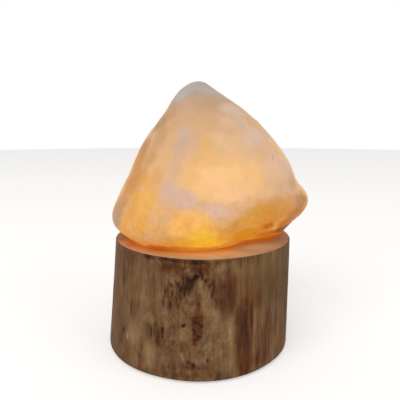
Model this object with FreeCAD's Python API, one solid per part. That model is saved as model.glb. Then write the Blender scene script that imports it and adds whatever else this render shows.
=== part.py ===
"""Salt crystal lamp: a hollowed lump of rock salt screwed to a short length of debarked log.

A bore runs up through the log and on into the crystal. A small screw-base lamp holder is pushed
up the bore from below and is held there by the three arms of a spring bracket, so that pulling it
down changes the bulb. The cord would lie in the groove under the log, behind the keeper strip.

Frame: millimetres, +Z up, the front of the lamp towards -Y. The origin is on the surface that the
lamp stands on, on the axis of the bore.
"""

import FreeCAD
import Part
import math
import os

from FreeCAD import Vector

# ---------------------------------------------------------------- driving sizes, in millimetres

# The log. It is a little wider at its foot, and it leans to the right going up.
LOG_HEIGHT = 80.0
LOG_TOP_RADIUS = 65.2
LOG_BOTTOM_RADIUS = 68.6
LOG_TOP_MIDDLE_X = -3.1
LOG_BOTTOM_MIDDLE_X = -6.9
LOG_UNEVENNESS = 0.5
LOG_TOP_CHAMFER = 0.8
LOG_BOTTOM_CHAMFER = 1.0

# The crystal, and the room for the bulb in it.
CRYSTAL_HEIGHT = 113.0
CRYSTAL_WIDTH = 147.3
CRYSTAL_DEPTH = 122.0
CRYSTAL_LOBE_SIZE = 0.055
CRYSTAL_LOBE_ANGLE = 9.0
CRYSTAL_CHIP_ANGLE = 303.0
CRYSTAL_CHIP_DEPTH = 0.15
CRYSTAL_CHIP_HEIGHT = 0.25
CHAMBER_HEADROOM = 9.0
CHAMBER_CONE_HEIGHT = 9.0
CHAMBER_CONE_TOP_RADIUS = 7.0

# The clearances between pieces.
FIT_CLEARANCE = 0.1
BORE_CLEARANCE = 3.0
ARM_CLEARANCE = 0.3
THREAD_CLEARANCE = 0.3
BULB_SEAT_GAP = 0.15

# The three screws that hold the crystal down, each with a washer and a plug in the salt.
FIXING_COUNT = 3
FIXING_FIRST_ANGLE = 30.0
FIXING_WALL = 6.5
SCREW_RADIUS = 2.5
SCREW_LENGTH = 60.0
SCREW_END_GAP = 3.7
SCREW_TIP_LENGTH = 5.0
SCREW_HOLE_CLEARANCE = 0.3
SCREW_HEAD_OVERHANG = 2.3
SCREW_HEAD_HEIGHT = 3.4
SCREW_RECESS_LENGTH = 4.8
SCREW_RECESS_WIDTH = 1.0
SCREW_RECESS_DEPTH = 2.0
WASHER_RADIUS = 6.0
WASHER_THICKNESS = 1.2
WASHER_CLEARANCE = 0.5
PLUG_WALL = 1.5
PLUG_LENGTH = 30.0
PLUG_END_WALL = 1.5
PLUG_COLLAR_WIDTH = 1.2
PLUG_COLLAR_HEIGHT = 1.0

# The four felt pads.
PAD_COUNT = 4
PAD_FIRST_ANGLE = 45.0
PAD_RADIUS = 9.0
PAD_THICKNESS = 1.5
PAD_SETBACK = 7.2

# The cord groove in the underside, and the keeper strip across it.
GROOVE_WIDTH = 9.0
GROOVE_DEPTH = 10.0
KEEPER_LENGTH = 30.0
KEEPER_WIDTH = 10.0
KEEPER_THICKNESS = 1.6
KEEPER_SETBACK = 13.2
KEEPER_SCREW_RADIUS = 1.4
KEEPER_SCREW_HEAD_RADIUS = 2.6
KEEPER_SCREW_LENGTH = 12.0
KEEPER_SCREW_SLOT_WIDTH = 0.6
KEEPER_SCREW_SLOT_DEPTH = 0.6

# The lamp holder: a sleeve round the screw shell, and a cap with the cord entry.
HOLDER_DROP = 4.0
SLEEVE_RADIUS = 15.0
SLEEVE_WALL = 2.8
SLEEVE_LIP_HEIGHT = 1.5
SLEEVE_MOUTH_CHAMFER = 0.8
SLEEVE_NECK_LENGTH = 10.0
SLEEVE_NECK_STEP = 1.4
CAP_LENGTH = 21.0
CAP_WALL = 2.0
CAP_SHOULDER_RADIUS = 6.0
CAP_SPIGOT_LENGTH = 4.0
CAP_SPIGOT_WALL = 1.0
CAP_NECK_LENGTH = 8.0
CAP_NECK_WALL = 2.7
CORD_ENTRY_RADIUS = 3.5
GRIP_SCREW_RADIUS = 1.5
GRIP_SCREW_LENGTH = 4.5

# The ring nut on the sleeve's neck, and the spring bracket that it clamps.
RING_RIM = 2.0
RING_HEIGHT = 5.0
RING_NOTCHES = 12
RING_NOTCH_RADIUS = 0.9
BRACKET_THICKNESS = 0.8
ARM_COUNT = 3
ARM_FIRST_ANGLE = 90.0
ARM_WIDTH = 8.0
ARM_LENGTH = 32.0
ARM_GAP = 0.8
ARM_END_FLARE = 0.2

# The contacts inside the holder.
BLOCK_HEIGHT = 7.5
SHELL_WALL = 0.35
SHELL_MARGIN = 0.5
SHELL_FLANGE_WIDTH = 1.2
SHELL_FOOT_WIDTH = 1.5
TONGUE_WIDTH = 4.0
TONGUE_THICKNESS = 0.4
TONGUE_RISE = 1.6
TONGUE_GAP = 0.8
TERMINAL_RIM = 2.6
TERMINAL_SIZE = 5.0
TERMINAL_HEIGHT = 6.0
TERMINAL_ROOF = 1.0
TERMINAL_HOLE_RADIUS = 1.3
TERMINAL_SCREW_RADIUS = 1.0
TERMINAL_SCREW_DROP = 3.0
TERMINAL_SCREW_HEAD_RADIUS = 1.7
TERMINAL_SCREW_HEAD_HEIGHT = 1.2
TERMINAL_ACCESS_CLEARANCE = 0.4

# The bulb, with a 14 mm screw cap.
THREAD_RADIUS = 6.95
THREAD_DEPTH = 0.8
THREAD_PITCH = 2.822
THREAD_TURNS = 4
BULB_CAP_WALL = 0.3
BULB_RIM_GAP = 0.5
BULB_CAP_FLARE_LENGTH = 2.4
BULB_CAP_TAPER = 0.6
BULB_CAP_RIM_WALL = 0.5
INSULATOR_HEIGHT = 2.6
INSULATOR_RIM = 0.8
INSULATOR_SPIGOT_HEIGHT = 1.2
BULB_TIP_RADIUS = 2.4
BULB_TIP_HEIGHT = 1.4
BULB_TIP_RIM = 0.4
GLASS_RADIUS = 12.8
GLASS_NECK_RADIUS = 7.3
GLASS_NECK_LENGTH = 5.4
GLASS_LENGTH = 38.0
GLASS_WALL = 0.7
STEM_RADIUS = 2.2
STEM_FLARE_RADIUS = 1.0
STEM_FLARE_LENGTH = 6.0
STEM_HEIGHT = 15.0
LEAD_RADIUS = 0.3
LEAD_SPREAD = 6.5
LEAD_LENGTH = 8.0
LEAD_EMBEDMENT = 3.0
FILAMENT_RADIUS = 0.35
FILAMENT_RISE = 2.5

# The crystal's levels, from its foot up. Each is (height, middle x, middle y, half width, half
# depth, rise): the height and the rise as parts of the crystal's height, the others as parts of
# half its width or half its depth. A level rises that much to the right, and drops to the left.
CRYSTAL_LEVELS = (
    (0.000, -0.031, -0.030, 0.730, 0.710, 0.000),
    (0.031, -0.002, -0.030, 0.796, 0.810, 0.007),
    (0.080, 0.001, -0.025, 0.873, 0.910, 0.016),
    (0.150, 0.020, -0.020, 0.969, 0.985, 0.026),
    (0.212, 0.036, -0.015, 0.989, 1.000, 0.026),
    (0.270, 0.040, -0.010, 0.959, 0.985, 0.022),
    (0.341, 0.027, -0.005, 0.891, 0.945, 0.022),
    (0.425, 0.037, 0.000, 0.832, 0.885, 0.018),
    (0.518, 0.025, 0.005, 0.760, 0.810, 0.013),
    (0.619, 0.009, 0.010, 0.659, 0.705, 0.009),
    (0.721, 0.004, 0.015, 0.535, 0.575, 0.004),
    (0.819, -0.020, 0.020, 0.392, 0.430, 0.004),
    (0.903, -0.070, 0.025, 0.256, 0.285, 0.000),
    (0.965, -0.093, 0.030, 0.138, 0.150, 0.000),
    (0.988, -0.091, 0.030, 0.085, 0.090, 0.000),
)
CRYSTAL_TIP = (1.000, -0.091, 0.030)
OUTLINE_POINTS = 16

# ---------------------------------------------------------------- sizes that follow from them

RING_RADIUS = SLEEVE_RADIUS + RING_RIM
BORE_RADIUS = RING_RADIUS + BORE_CLEARANCE
BRACKET_RADIUS = SLEEVE_RADIUS + ARM_GAP + BRACKET_THICKNESS
ARM_REACH = BORE_RADIUS - ARM_CLEARANCE
ARM_END_RADIUS = BRACKET_RADIUS + ARM_END_FLARE
SLEEVE_BORE_RADIUS = SLEEVE_RADIUS - SLEEVE_WALL
SLEEVE_NECK_RADIUS = SLEEVE_RADIUS - SLEEVE_NECK_STEP
CAP_NECK_RADIUS = CORD_ENTRY_RADIUS + CAP_NECK_WALL
BLOCK_RADIUS = SLEEVE_BORE_RADIUS - FIT_CLEARANCE
THREAD_MIDDLE_RADIUS = THREAD_RADIUS - THREAD_DEPTH / 2
SHELL_MIDDLE_RADIUS = THREAD_MIDDLE_RADIUS + THREAD_CLEARANCE
SHELL_MOUTH_RADIUS = THREAD_RADIUS + THREAD_CLEARANCE
SHELL_FOOT_RADIUS = SHELL_MIDDLE_RADIUS - SHELL_FOOT_WIDTH
TERMINAL_X = BLOCK_RADIUS - TERMINAL_RIM - TERMINAL_SIZE / 2
BULB_CAP_CORE_RADIUS = THREAD_RADIUS - THREAD_DEPTH - BULB_CAP_WALL
BULB_CAP_RIM_RADIUS = GLASS_NECK_RADIUS + FIT_CLEARANCE + BULB_CAP_RIM_WALL

SCREW_HEAD_RADIUS = SCREW_RADIUS + SCREW_HEAD_OVERHANG
COUNTERBORE_RADIUS = WASHER_RADIUS + WASHER_CLEARANCE
FIXING_CIRCLE_RADIUS = BORE_RADIUS + FIXING_WALL + COUNTERBORE_RADIUS
PLUG_HOLE_RADIUS = SCREW_RADIUS + FIT_CLEARANCE
PLUG_RADIUS = PLUG_HOLE_RADIUS + PLUG_WALL
PLUG_COLLAR_RADIUS = PLUG_RADIUS + PLUG_COLLAR_WIDTH
PAD_CIRCLE_RADIUS = LOG_BOTTOM_RADIUS - PAD_SETBACK - PAD_RADIUS
KEEPER_Y = LOG_BOTTOM_RADIUS - KEEPER_SETBACK - KEEPER_WIDTH / 2
KEEPER_END_X = (KEEPER_LENGTH - KEEPER_WIDTH) / 2

LOG_UNDERSIDE_Z = PAD_THICKNESS
LOG_TOP_Z = LOG_UNDERSIDE_Z + LOG_HEIGHT
PLUG_TOP_Z = LOG_TOP_Z + PLUG_LENGTH
SCREW_END_Z = PLUG_TOP_Z - PLUG_END_WALL - SCREW_END_GAP
SCREW_HEAD_Z = SCREW_END_Z - SCREW_LENGTH
SCREW_SEAT_Z = SCREW_HEAD_Z + WASHER_THICKNESS

HOLDER_MOUTH_Z = LOG_TOP_Z - HOLDER_DROP
SLEEVE_SHOULDER_Z = HOLDER_MOUTH_Z - SLEEVE_NECK_LENGTH
SHELL_TOP_Z = HOLDER_MOUTH_Z - SLEEVE_LIP_HEIGHT
THREAD_TOP_Z = SHELL_TOP_Z - SHELL_MARGIN
BULB_CAP_Z = THREAD_TOP_Z - THREAD_TURNS * THREAD_PITCH
INSULATOR_Z = BULB_CAP_Z - INSULATOR_HEIGHT
BULB_TIP_Z = INSULATOR_Z - BULB_TIP_HEIGHT
BLOCK_TOP_Z = BULB_TIP_Z - BULB_SEAT_GAP - TONGUE_THICKNESS - TONGUE_RISE
CAP_SPIGOT_TOP_Z = BLOCK_TOP_Z - BLOCK_HEIGHT
SLEEVE_BOTTOM_Z = CAP_SPIGOT_TOP_Z - CAP_SPIGOT_LENGTH
CAP_BOTTOM_Z = SLEEVE_BOTTOM_Z - CAP_LENGTH
NECK_BOTTOM_Z = CAP_BOTTOM_Z - CAP_NECK_LENGTH
BULB_CAP_NECK_Z = HOLDER_MOUTH_Z + BULB_RIM_GAP
BULB_CAP_FLARE_Z = BULB_CAP_NECK_Z + BULB_CAP_TAPER
GLASS_Z = BULB_CAP_FLARE_Z
GLASS_TOP_Z = GLASS_Z + GLASS_LENGTH
STEM_TOP_Z = GLASS_Z + STEM_HEIGHT
LEAD_TOP_Z = STEM_TOP_Z + LEAD_LENGTH
CHAMBER_SHOULDER_Z = GLASS_TOP_Z + CHAMBER_HEADROOM
CHAMBER_TOP_Z = CHAMBER_SHOULDER_Z + CHAMBER_CONE_HEIGHT

# How far a cutting body runs past the surface that it cuts.
OVERRUN = 1.0

UP = Vector(0, 0, 1)


# ---------------------------------------------------------------- small helpers


def cylinder(radius, z_low, z_high, x=0.0, y=0.0):
    """An upright cylinder between two heights."""
    return Part.makeCylinder(radius, z_high - z_low, Vector(x, y, z_low), UP)


def tube(outer, inner, z_low, z_high, x=0.0, y=0.0):
    """An upright tube between two heights."""
    return cylinder(outer, z_low, z_high, x, y).cut(cylinder(inner, z_low, z_high, x, y))


def box(x_low, x_high, y_low, y_high, z_low, z_high):
    """A box between two corners."""
    return Part.makeBox(x_high - x_low, y_high - y_low, z_high - z_low, Vector(x_low, y_low, z_low))


def outline_face(outline):
    """A flat face in the XZ plane from a closed outline of (x, z) points.

    A step may be written as ("arc", middle, end), which goes round through middle to end.
    """
    start = Vector(outline[0][0], 0, outline[0][1])
    here = start
    edges = []
    for step in outline[1:]:
        if step[0] == "arc":
            middle, end = (Vector(x, 0, z) for x, z in step[1:])
            edges.append(Part.Arc(here, middle, end).toShape())
        else:
            end = Vector(step[0], 0, step[1])
            edges.append(Part.LineSegment(here, end).toShape())
        here = end
    edges.append(Part.LineSegment(here, start).toShape())
    return Part.Face(Part.Wire(edges))


def turned(outline):
    """A solid turned about the Z axis from an outline of (radius, height) points."""
    return outline_face(outline).revolve(Vector(0, 0, 0), UP, 360)


def strip_along_y(outline, width):
    """A solid of an (x, z) outline, as wide as stated along Y and centred on the XZ plane."""
    face = outline_face(outline)
    face.translate(Vector(0, -width / 2, 0))
    return face.extrude(Vector(0, width, 0))


def on_circle(radius, first_angle, count, middle_x=0.0):
    """Points spaced evenly round a circle, as (x, y)."""
    angles = [math.radians(first_angle + 360.0 * k / count) for k in range(count)]
    return [(middle_x + radius * math.cos(a), radius * math.sin(a)) for a in angles]


def closed_spline(points):
    """A closed smooth wire through points, in four edges that meet at every fourth of them."""
    curve = Part.BSplineCurve()
    curve.interpolate(Points=points, PeriodicFlag=True)
    quarter = len(points) // 4
    cuts = [curve.parameter(points[k * quarter]) for k in range(1, 4)]
    cuts = [curve.FirstParameter, *cuts, curve.LastParameter]
    return Part.Wire([curve.toShape(low, high) for low, high in zip(cuts, cuts[1:])])


# ---------------------------------------------------------------- the log and what is under it


def log_outline(z):
    """The log's outline at a height: nearly round, with low swells at the front and the back."""
    share = (z - LOG_UNDERSIDE_Z) / LOG_HEIGHT
    middle = LOG_BOTTOM_MIDDLE_X + share * (LOG_TOP_MIDDLE_X - LOG_BOTTOM_MIDDLE_X)
    radius = LOG_BOTTOM_RADIUS + share * (LOG_TOP_RADIUS - LOG_BOTTOM_RADIUS)
    points = []
    for k in range(OUTLINE_POINTS):
        angle = 2 * math.pi * k / OUTLINE_POINTS
        swell = math.sin(angle) ** 2 * math.sin(5 * angle + 2.0 + share)
        r = radius + LOG_UNEVENNESS * swell
        points.append(Vector(middle + r * math.cos(angle), r * math.sin(angle), z))
    return closed_spline(points)


def rim_edges(shape, z):
    """The edges that lie level at a height."""
    low, high = z - 0.01, z + 0.01
    return [e for e in shape.Edges if e.BoundBox.ZMin > low and e.BoundBox.ZMax < high]


def make_log_base():
    """The log: flat top and underside, the bore, the screw holes and the cord groove."""
    levels = [LOG_UNDERSIDE_Z + LOG_HEIGHT * share for share in (0.0, 0.35, 0.7, 1.0)]
    log = Part.makeLoft([log_outline(z) for z in levels], True)
    log = log.makeChamfer(LOG_TOP_CHAMFER, rim_edges(log, LOG_TOP_Z))
    log = log.makeChamfer(LOG_BOTTOM_CHAMFER, rim_edges(log, LOG_UNDERSIDE_Z))
    low = LOG_UNDERSIDE_Z - OVERRUN
    high = LOG_TOP_Z + OVERRUN
    cuts = [cylinder(BORE_RADIUS, low, high), cord_groove(), keeper_recess()]
    for x, y in on_circle(FIXING_CIRCLE_RADIUS, FIXING_FIRST_ANGLE, FIXING_COUNT):
        cuts.append(cylinder(SCREW_RADIUS + SCREW_HOLE_CLEARANCE, low, high, x, y))
        cuts.append(cylinder(COUNTERBORE_RADIUS, low, SCREW_SEAT_Z, x, y))
    for x in (-KEEPER_END_X, KEEPER_END_X):
        cuts.append(keeper_screw(x, FIT_CLEARANCE))
    return log.cut(cuts)


def cord_groove():
    """The groove from the bore to the back edge, with a round roof as a router leaves."""
    half = GROOVE_WIDTH / 2
    far = 2 * LOG_BOTTOM_RADIUS
    roof_z = LOG_UNDERSIDE_Z + GROOVE_DEPTH - half
    slot = box(-half, half, 0, far, LOG_UNDERSIDE_Z - OVERRUN, roof_z)
    roof = Part.makeCylinder(half, far, Vector(0, 0, roof_z), Vector(0, 1, 0))
    return slot.fuse(roof)


def keeper_bar(grow, z_low, z_high):
    """A bar with round ends where the keeper strip lies, larger all round by a clearance."""
    half = KEEPER_WIDTH / 2 + grow
    bar = box(-KEEPER_END_X, KEEPER_END_X, KEEPER_Y - half, KEEPER_Y + half, z_low, z_high)
    ends = [cylinder(half, z_low, z_high, x, KEEPER_Y) for x in (-KEEPER_END_X, KEEPER_END_X)]
    return bar.fuse(ends).removeSplitter()


def keeper_recess():
    """The shallow recess that the keeper strip lies in, flush with the underside."""
    return keeper_bar(FIT_CLEARANCE, LOG_UNDERSIDE_Z - OVERRUN, LOG_UNDERSIDE_Z + KEEPER_THICKNESS)


def make_cord_keeper():
    """The strip that keeps the cord in its groove, with two countersunk holes."""
    strip = keeper_bar(0, LOG_UNDERSIDE_Z, LOG_UNDERSIDE_Z + KEEPER_THICKNESS)
    return strip.cut([keeper_screw(x, FIT_CLEARANCE) for x in (-KEEPER_END_X, KEEPER_END_X)])


def keeper_screw(x, grow=0.0):
    """A small countersunk screw with its head flush with the strip, or the hole for it."""
    z = LOG_UNDERSIDE_Z
    head_radius = KEEPER_SCREW_HEAD_RADIUS + grow
    shank_radius = KEEPER_SCREW_RADIUS + grow
    head = Part.makeCone(head_radius, shank_radius, head_radius - shank_radius, Vector(x, KEEPER_Y, z))
    return head.fuse(cylinder(shank_radius, z, z + KEEPER_SCREW_LENGTH + grow, x, KEEPER_Y))


def make_keeper_screws():
    """The keeper strip's two screws, each with a slot across its head."""
    reach = KEEPER_SCREW_HEAD_RADIUS + OVERRUN
    half = KEEPER_SCREW_SLOT_WIDTH / 2
    low = LOG_UNDERSIDE_Z - OVERRUN
    high = LOG_UNDERSIDE_Z + KEEPER_SCREW_SLOT_DEPTH
    screws = []
    for x in (-KEEPER_END_X, KEEPER_END_X):
        slot = box(x - reach, x + reach, KEEPER_Y - half, KEEPER_Y + half, low, high)
        screws.append(keeper_screw(x).cut(slot))
    return Part.Compound(screws)


def make_felt_pads():
    """The felt pads that the lamp stands on."""
    spots = on_circle(PAD_CIRCLE_RADIUS, PAD_FIRST_ANGLE, PAD_COUNT, LOG_BOTTOM_MIDDLE_X)
    return Part.Compound([cylinder(PAD_RADIUS, 0, PAD_THICKNESS, x, y) for x, y in spots])


# ---------------------------------------------------------------- the crystal and its fixings


def lobed_round(height):
    """Points round a soft shape of three lobes that turn slowly going up, within -1 to 1.

    Near its foot the shape is chipped back at the front right corner.
    """
    size = CRYSTAL_LOBE_SIZE * min(1.0, 2.5 * (1.0 - height))
    turn = math.radians(CRYSTAL_LOBE_ANGLE + 20.0 * height)
    chip = CRYSTAL_CHIP_DEPTH * max(0.0, 1.0 - height / CRYSTAL_CHIP_HEIGHT)
    spots = []
    for k in range(OUTLINE_POINTS):
        angle = 2 * math.pi * k / OUTLINE_POINTS
        broad = math.cos(3 * (angle - turn))
        fine = math.cos(5 * angle + 6.0 * height)
        towards_chip = max(0.0, math.cos(angle - math.radians(CRYSTAL_CHIP_ANGLE)))
        r = 1 + size * (broad + 0.4 * fine) - chip * towards_chip ** 6
        spots.append((r * math.cos(angle), r * math.sin(angle)))
    low_x, high_x = min(x for x, _ in spots), max(x for x, _ in spots)
    low_y, high_y = min(y for _, y in spots), max(y for _, y in spots)
    return [
        (2 * (x - low_x) / (high_x - low_x) - 1, 2 * (y - low_y) / (high_y - low_y) - 1)
        for x, y in spots
    ]


def crystal_outline(level):
    """One level of the crystal, as a closed wire that rises to the right."""
    height, middle_x, middle_y, half_width, half_depth, rise = level
    points = []
    for across, along in lobed_round(height):
        x = (middle_x + half_width * across) * CRYSTAL_WIDTH / 2
        y = (middle_y + half_depth * along) * CRYSTAL_DEPTH / 2
        points.append(Vector(x, y, LOG_TOP_Z + (height + rise * across) * CRYSTAL_HEIGHT))
    return closed_spline(points)


def make_salt_crystal():
    """The crystal, with the bulb's chamber and the holes for the plugs."""
    height, tip_x, tip_y = CRYSTAL_TIP
    tip_z = LOG_TOP_Z + height * CRYSTAL_HEIGHT
    tip = Part.Vertex(Vector(tip_x * CRYSTAL_WIDTH / 2, tip_y * CRYSTAL_DEPTH / 2, tip_z))
    crystal = Part.makeLoft([*(crystal_outline(level) for level in CRYSTAL_LEVELS), tip], True)
    low = LOG_TOP_Z - OVERRUN
    cuts = [turned([
        (0, low),
        (BORE_RADIUS, low),
        (BORE_RADIUS, CHAMBER_SHOULDER_Z),
        (CHAMBER_CONE_TOP_RADIUS, CHAMBER_TOP_Z),
        (0, CHAMBER_TOP_Z),
    ])]
    collar_top = LOG_TOP_Z + PLUG_COLLAR_HEIGHT + FIT_CLEARANCE
    for x, y in on_circle(FIXING_CIRCLE_RADIUS, FIXING_FIRST_ANGLE, FIXING_COUNT):
        cuts.append(cylinder(PLUG_RADIUS + FIT_CLEARANCE, low, PLUG_TOP_Z + FIT_CLEARANCE, x, y))
        cuts.append(cylinder(PLUG_COLLAR_RADIUS + FIT_CLEARANCE, low, collar_top, x, y))
    return crystal.cut(cuts)


def make_crystal_plugs():
    """The nylon plugs in the salt that the fixing screws bite in."""
    plugs = []
    for x, y in on_circle(FIXING_CIRCLE_RADIUS, FIXING_FIRST_ANGLE, FIXING_COUNT):
        body = cylinder(PLUG_RADIUS, LOG_TOP_Z, PLUG_TOP_Z, x, y)
        collar = cylinder(PLUG_COLLAR_RADIUS, LOG_TOP_Z, LOG_TOP_Z + PLUG_COLLAR_HEIGHT, x, y)
        hole = cylinder(PLUG_HOLE_RADIUS, LOG_TOP_Z - OVERRUN, PLUG_TOP_Z - PLUG_END_WALL, x, y)
        plugs.append(body.fuse(collar).cut(hole))
    return Part.Compound(plugs)


def make_fixing_screws():
    """The long screws: a domed head with a cross recess, a shank and a point."""
    low = SCREW_HEAD_Z - SCREW_HEAD_HEIGHT
    bulge = (SCREW_HEAD_RADIUS * 0.7, low + SCREW_HEAD_HEIGHT * 0.25)
    screw = turned([
        (0, low),
        ("arc", bulge, (SCREW_HEAD_RADIUS, SCREW_HEAD_Z)),
        (SCREW_RADIUS, SCREW_HEAD_Z),
        (SCREW_RADIUS, SCREW_END_Z - SCREW_TIP_LENGTH),
        (0, SCREW_END_Z),
    ])
    long, half = SCREW_RECESS_LENGTH / 2, SCREW_RECESS_WIDTH / 2
    top = low + SCREW_RECESS_DEPTH
    screw = screw.cut([
        box(-long, long, -half, half, low - OVERRUN, top),
        box(-half, half, -long, long, low - OVERRUN, top),
    ])
    spots = on_circle(FIXING_CIRCLE_RADIUS, FIXING_FIRST_ANGLE, FIXING_COUNT)
    return Part.Compound([screw.translated(Vector(x, y, 0)) for x, y in spots])


def make_screw_washers():
    """The washers under the fixing screws' heads."""
    hole = SCREW_RADIUS + FIT_CLEARANCE
    spots = on_circle(FIXING_CIRCLE_RADIUS, FIXING_FIRST_ANGLE, FIXING_COUNT)
    return Part.Compound([tube(WASHER_RADIUS, hole, SCREW_HEAD_Z, SCREW_SEAT_Z, x, y) for x, y in spots])


# ---------------------------------------------------------------- the lamp holder


def make_holder_sleeve():
    """The holder's upper half: a sleeve with a thinner neck, and a lip over the screw shell."""
    return turned([
        (SLEEVE_BORE_RADIUS, SLEEVE_BOTTOM_Z),
        (SLEEVE_RADIUS, SLEEVE_BOTTOM_Z),
        (SLEEVE_RADIUS, SLEEVE_SHOULDER_Z),
        (SLEEVE_NECK_RADIUS, SLEEVE_SHOULDER_Z),
        (SLEEVE_NECK_RADIUS, HOLDER_MOUTH_Z - SLEEVE_MOUTH_CHAMFER),
        (SLEEVE_NECK_RADIUS - SLEEVE_MOUTH_CHAMFER, HOLDER_MOUTH_Z),
        (SHELL_MOUTH_RADIUS, HOLDER_MOUTH_Z),
        (SHELL_MOUTH_RADIUS, SHELL_TOP_Z),
        (SLEEVE_BORE_RADIUS, SHELL_TOP_Z),
    ])


def make_holder_cap():
    """The holder's lower half: a domed cup with a spigot above and the cord entry below."""
    inner = SLEEVE_RADIUS - CAP_WALL
    spigot_inner = BLOCK_RADIUS - CAP_SPIGOT_WALL
    floor_z = CAP_BOTTOM_Z + CAP_WALL
    shoulder = min(CAP_SHOULDER_RADIUS, SLEEVE_RADIUS - CAP_NECK_RADIUS - CAP_WALL)
    bend = shoulder * (1 - math.sqrt(0.5))
    inner_shoulder = shoulder - CAP_WALL
    inner_bend = inner_shoulder * (1 - math.sqrt(0.5))
    cup = turned([
        (CORD_ENTRY_RADIUS, NECK_BOTTOM_Z),
        (CAP_NECK_RADIUS, NECK_BOTTOM_Z),
        (CAP_NECK_RADIUS, CAP_BOTTOM_Z),
        (SLEEVE_RADIUS - shoulder, CAP_BOTTOM_Z),
        ("arc", (SLEEVE_RADIUS - bend, CAP_BOTTOM_Z + bend), (SLEEVE_RADIUS, CAP_BOTTOM_Z + shoulder)),
        (SLEEVE_RADIUS, SLEEVE_BOTTOM_Z),
        (BLOCK_RADIUS, SLEEVE_BOTTOM_Z),
        (BLOCK_RADIUS, CAP_SPIGOT_TOP_Z),
        (spigot_inner, CAP_SPIGOT_TOP_Z),
        (spigot_inner, SLEEVE_BOTTOM_Z - CAP_WALL),
        (inner, SLEEVE_BOTTOM_Z - 2 * CAP_WALL),
        (inner, floor_z + inner_shoulder),
        ("arc", (inner - inner_bend, floor_z + inner_bend), (inner - inner_shoulder, floor_z)),
        (CORD_ENTRY_RADIUS, floor_z),
    ])
    return cup.cut(grip_screw(GRIP_SCREW_RADIUS, 0, 2 * CAP_NECK_RADIUS))


def grip_screw(radius, start_x, length):
    """A cylinder that lies across the neck's wall on the right, half way up the neck."""
    start = Vector(start_x, 0, NECK_BOTTOM_Z + CAP_NECK_LENGTH / 2)
    return Part.makeCylinder(radius, length, start, Vector(1, 0, 0))


def make_cord_grip_screw():
    """The grub screw in the neck that grips the cord."""
    return grip_screw(GRIP_SCREW_RADIUS - FIT_CLEARANCE, CORD_ENTRY_RADIUS, GRIP_SCREW_LENGTH)


def make_ring_nut():
    """The ring nut on the sleeve's neck, notched for the fingers."""
    low = SLEEVE_SHOULDER_Z + BRACKET_THICKNESS
    high = low + RING_HEIGHT
    ring = tube(RING_RADIUS, SLEEVE_NECK_RADIUS + FIT_CLEARANCE, low, high)
    spots = on_circle(RING_RADIUS, 0, RING_NOTCHES)
    return ring.cut([cylinder(RING_NOTCH_RADIUS, low, high, x, y) for x, y in spots])


def make_retaining_spring():
    """The spring bracket: a flat ring under the nut, and arms that bow out to the bore's wall."""
    low = SLEEVE_SHOULDER_Z
    high = low + BRACKET_THICKNESS
    end_z = high - ARM_LENGTH
    middle_z = (high + end_z) / 2
    thick = BRACKET_THICKNESS
    arm = strip_along_y([
        (BRACKET_RADIUS, high),
        ("arc", (ARM_REACH, middle_z), (ARM_END_RADIUS, end_z)),
        (ARM_END_RADIUS - thick, end_z),
        ("arc", (ARM_REACH - thick, middle_z), (BRACKET_RADIUS - thick, high)),
    ], ARM_WIDTH)
    arm = arm.common(cylinder(ARM_REACH, end_z, high))
    ring = tube(BRACKET_RADIUS, SLEEVE_NECK_RADIUS + FIT_CLEARANCE, low, high)
    angles = [ARM_FIRST_ANGLE + 360.0 * k / ARM_COUNT for k in range(ARM_COUNT)]
    return ring.fuse([arm.rotated(Vector(0, 0, 0), UP, angle) for angle in angles]).removeSplitter()


def make_contact_block():
    """The moulded disc that carries the screw shell, with pockets for the terminals."""
    block = cylinder(BLOCK_RADIUS, CAP_SPIGOT_TOP_Z, BLOCK_TOP_Z)
    half = TERMINAL_SIZE / 2 + FIT_CLEARANCE
    top = CAP_SPIGOT_TOP_Z + TERMINAL_HEIGHT + FIT_CLEARANCE
    access_radius = TERMINAL_SCREW_HEAD_RADIUS + TERMINAL_ACCESS_CLEARANCE
    cuts = []
    for x in (-TERMINAL_X, TERMINAL_X):
        cuts.append(box(x - half, x + half, -half, half, CAP_SPIGOT_TOP_Z - OVERRUN, top))
        cuts.append(terminal_bar(x, access_radius, 0, BLOCK_RADIUS))
    return block.cut(cuts)


def terminal_bar(x, radius, start, length):
    """A cylinder towards the front on a terminal screw's axis, from a distance before the middle."""
    z = CAP_SPIGOT_TOP_Z + TERMINAL_SCREW_DROP
    return Part.makeCylinder(radius, length, Vector(x, -start, z), Vector(0, -1, 0))


def make_terminals():
    """The two brass terminal blocks, each with a hole for the wire and one for its screw."""
    half = TERMINAL_SIZE / 2
    top = CAP_SPIGOT_TOP_Z + TERMINAL_HEIGHT
    blocks = []
    for x in (-TERMINAL_X, TERMINAL_X):
        block = box(x - half, x + half, -half, half, CAP_SPIGOT_TOP_Z, top)
        wire_hole = cylinder(TERMINAL_HOLE_RADIUS, CAP_SPIGOT_TOP_Z - OVERRUN, top - TERMINAL_ROOF, x)
        screw_hole = terminal_bar(x, TERMINAL_SCREW_RADIUS + FIT_CLEARANCE, 0, TERMINAL_SIZE)
        blocks.append(block.cut([wire_hole, screw_hole]))
    return Part.Compound(blocks)


def make_terminal_screws():
    """The two terminal screws, which point at the wire holes from the front."""
    face = TERMINAL_SIZE / 2
    screws = []
    for x in (-TERMINAL_X, TERMINAL_X):
        shank = terminal_bar(x, TERMINAL_SCREW_RADIUS, TERMINAL_HOLE_RADIUS, face - TERMINAL_HOLE_RADIUS)
        head = terminal_bar(x, TERMINAL_SCREW_HEAD_RADIUS, face, TERMINAL_SCREW_HEAD_HEIGHT)
        screws.append(shank.fuse(head))
    return Part.Compound(screws)


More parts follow.
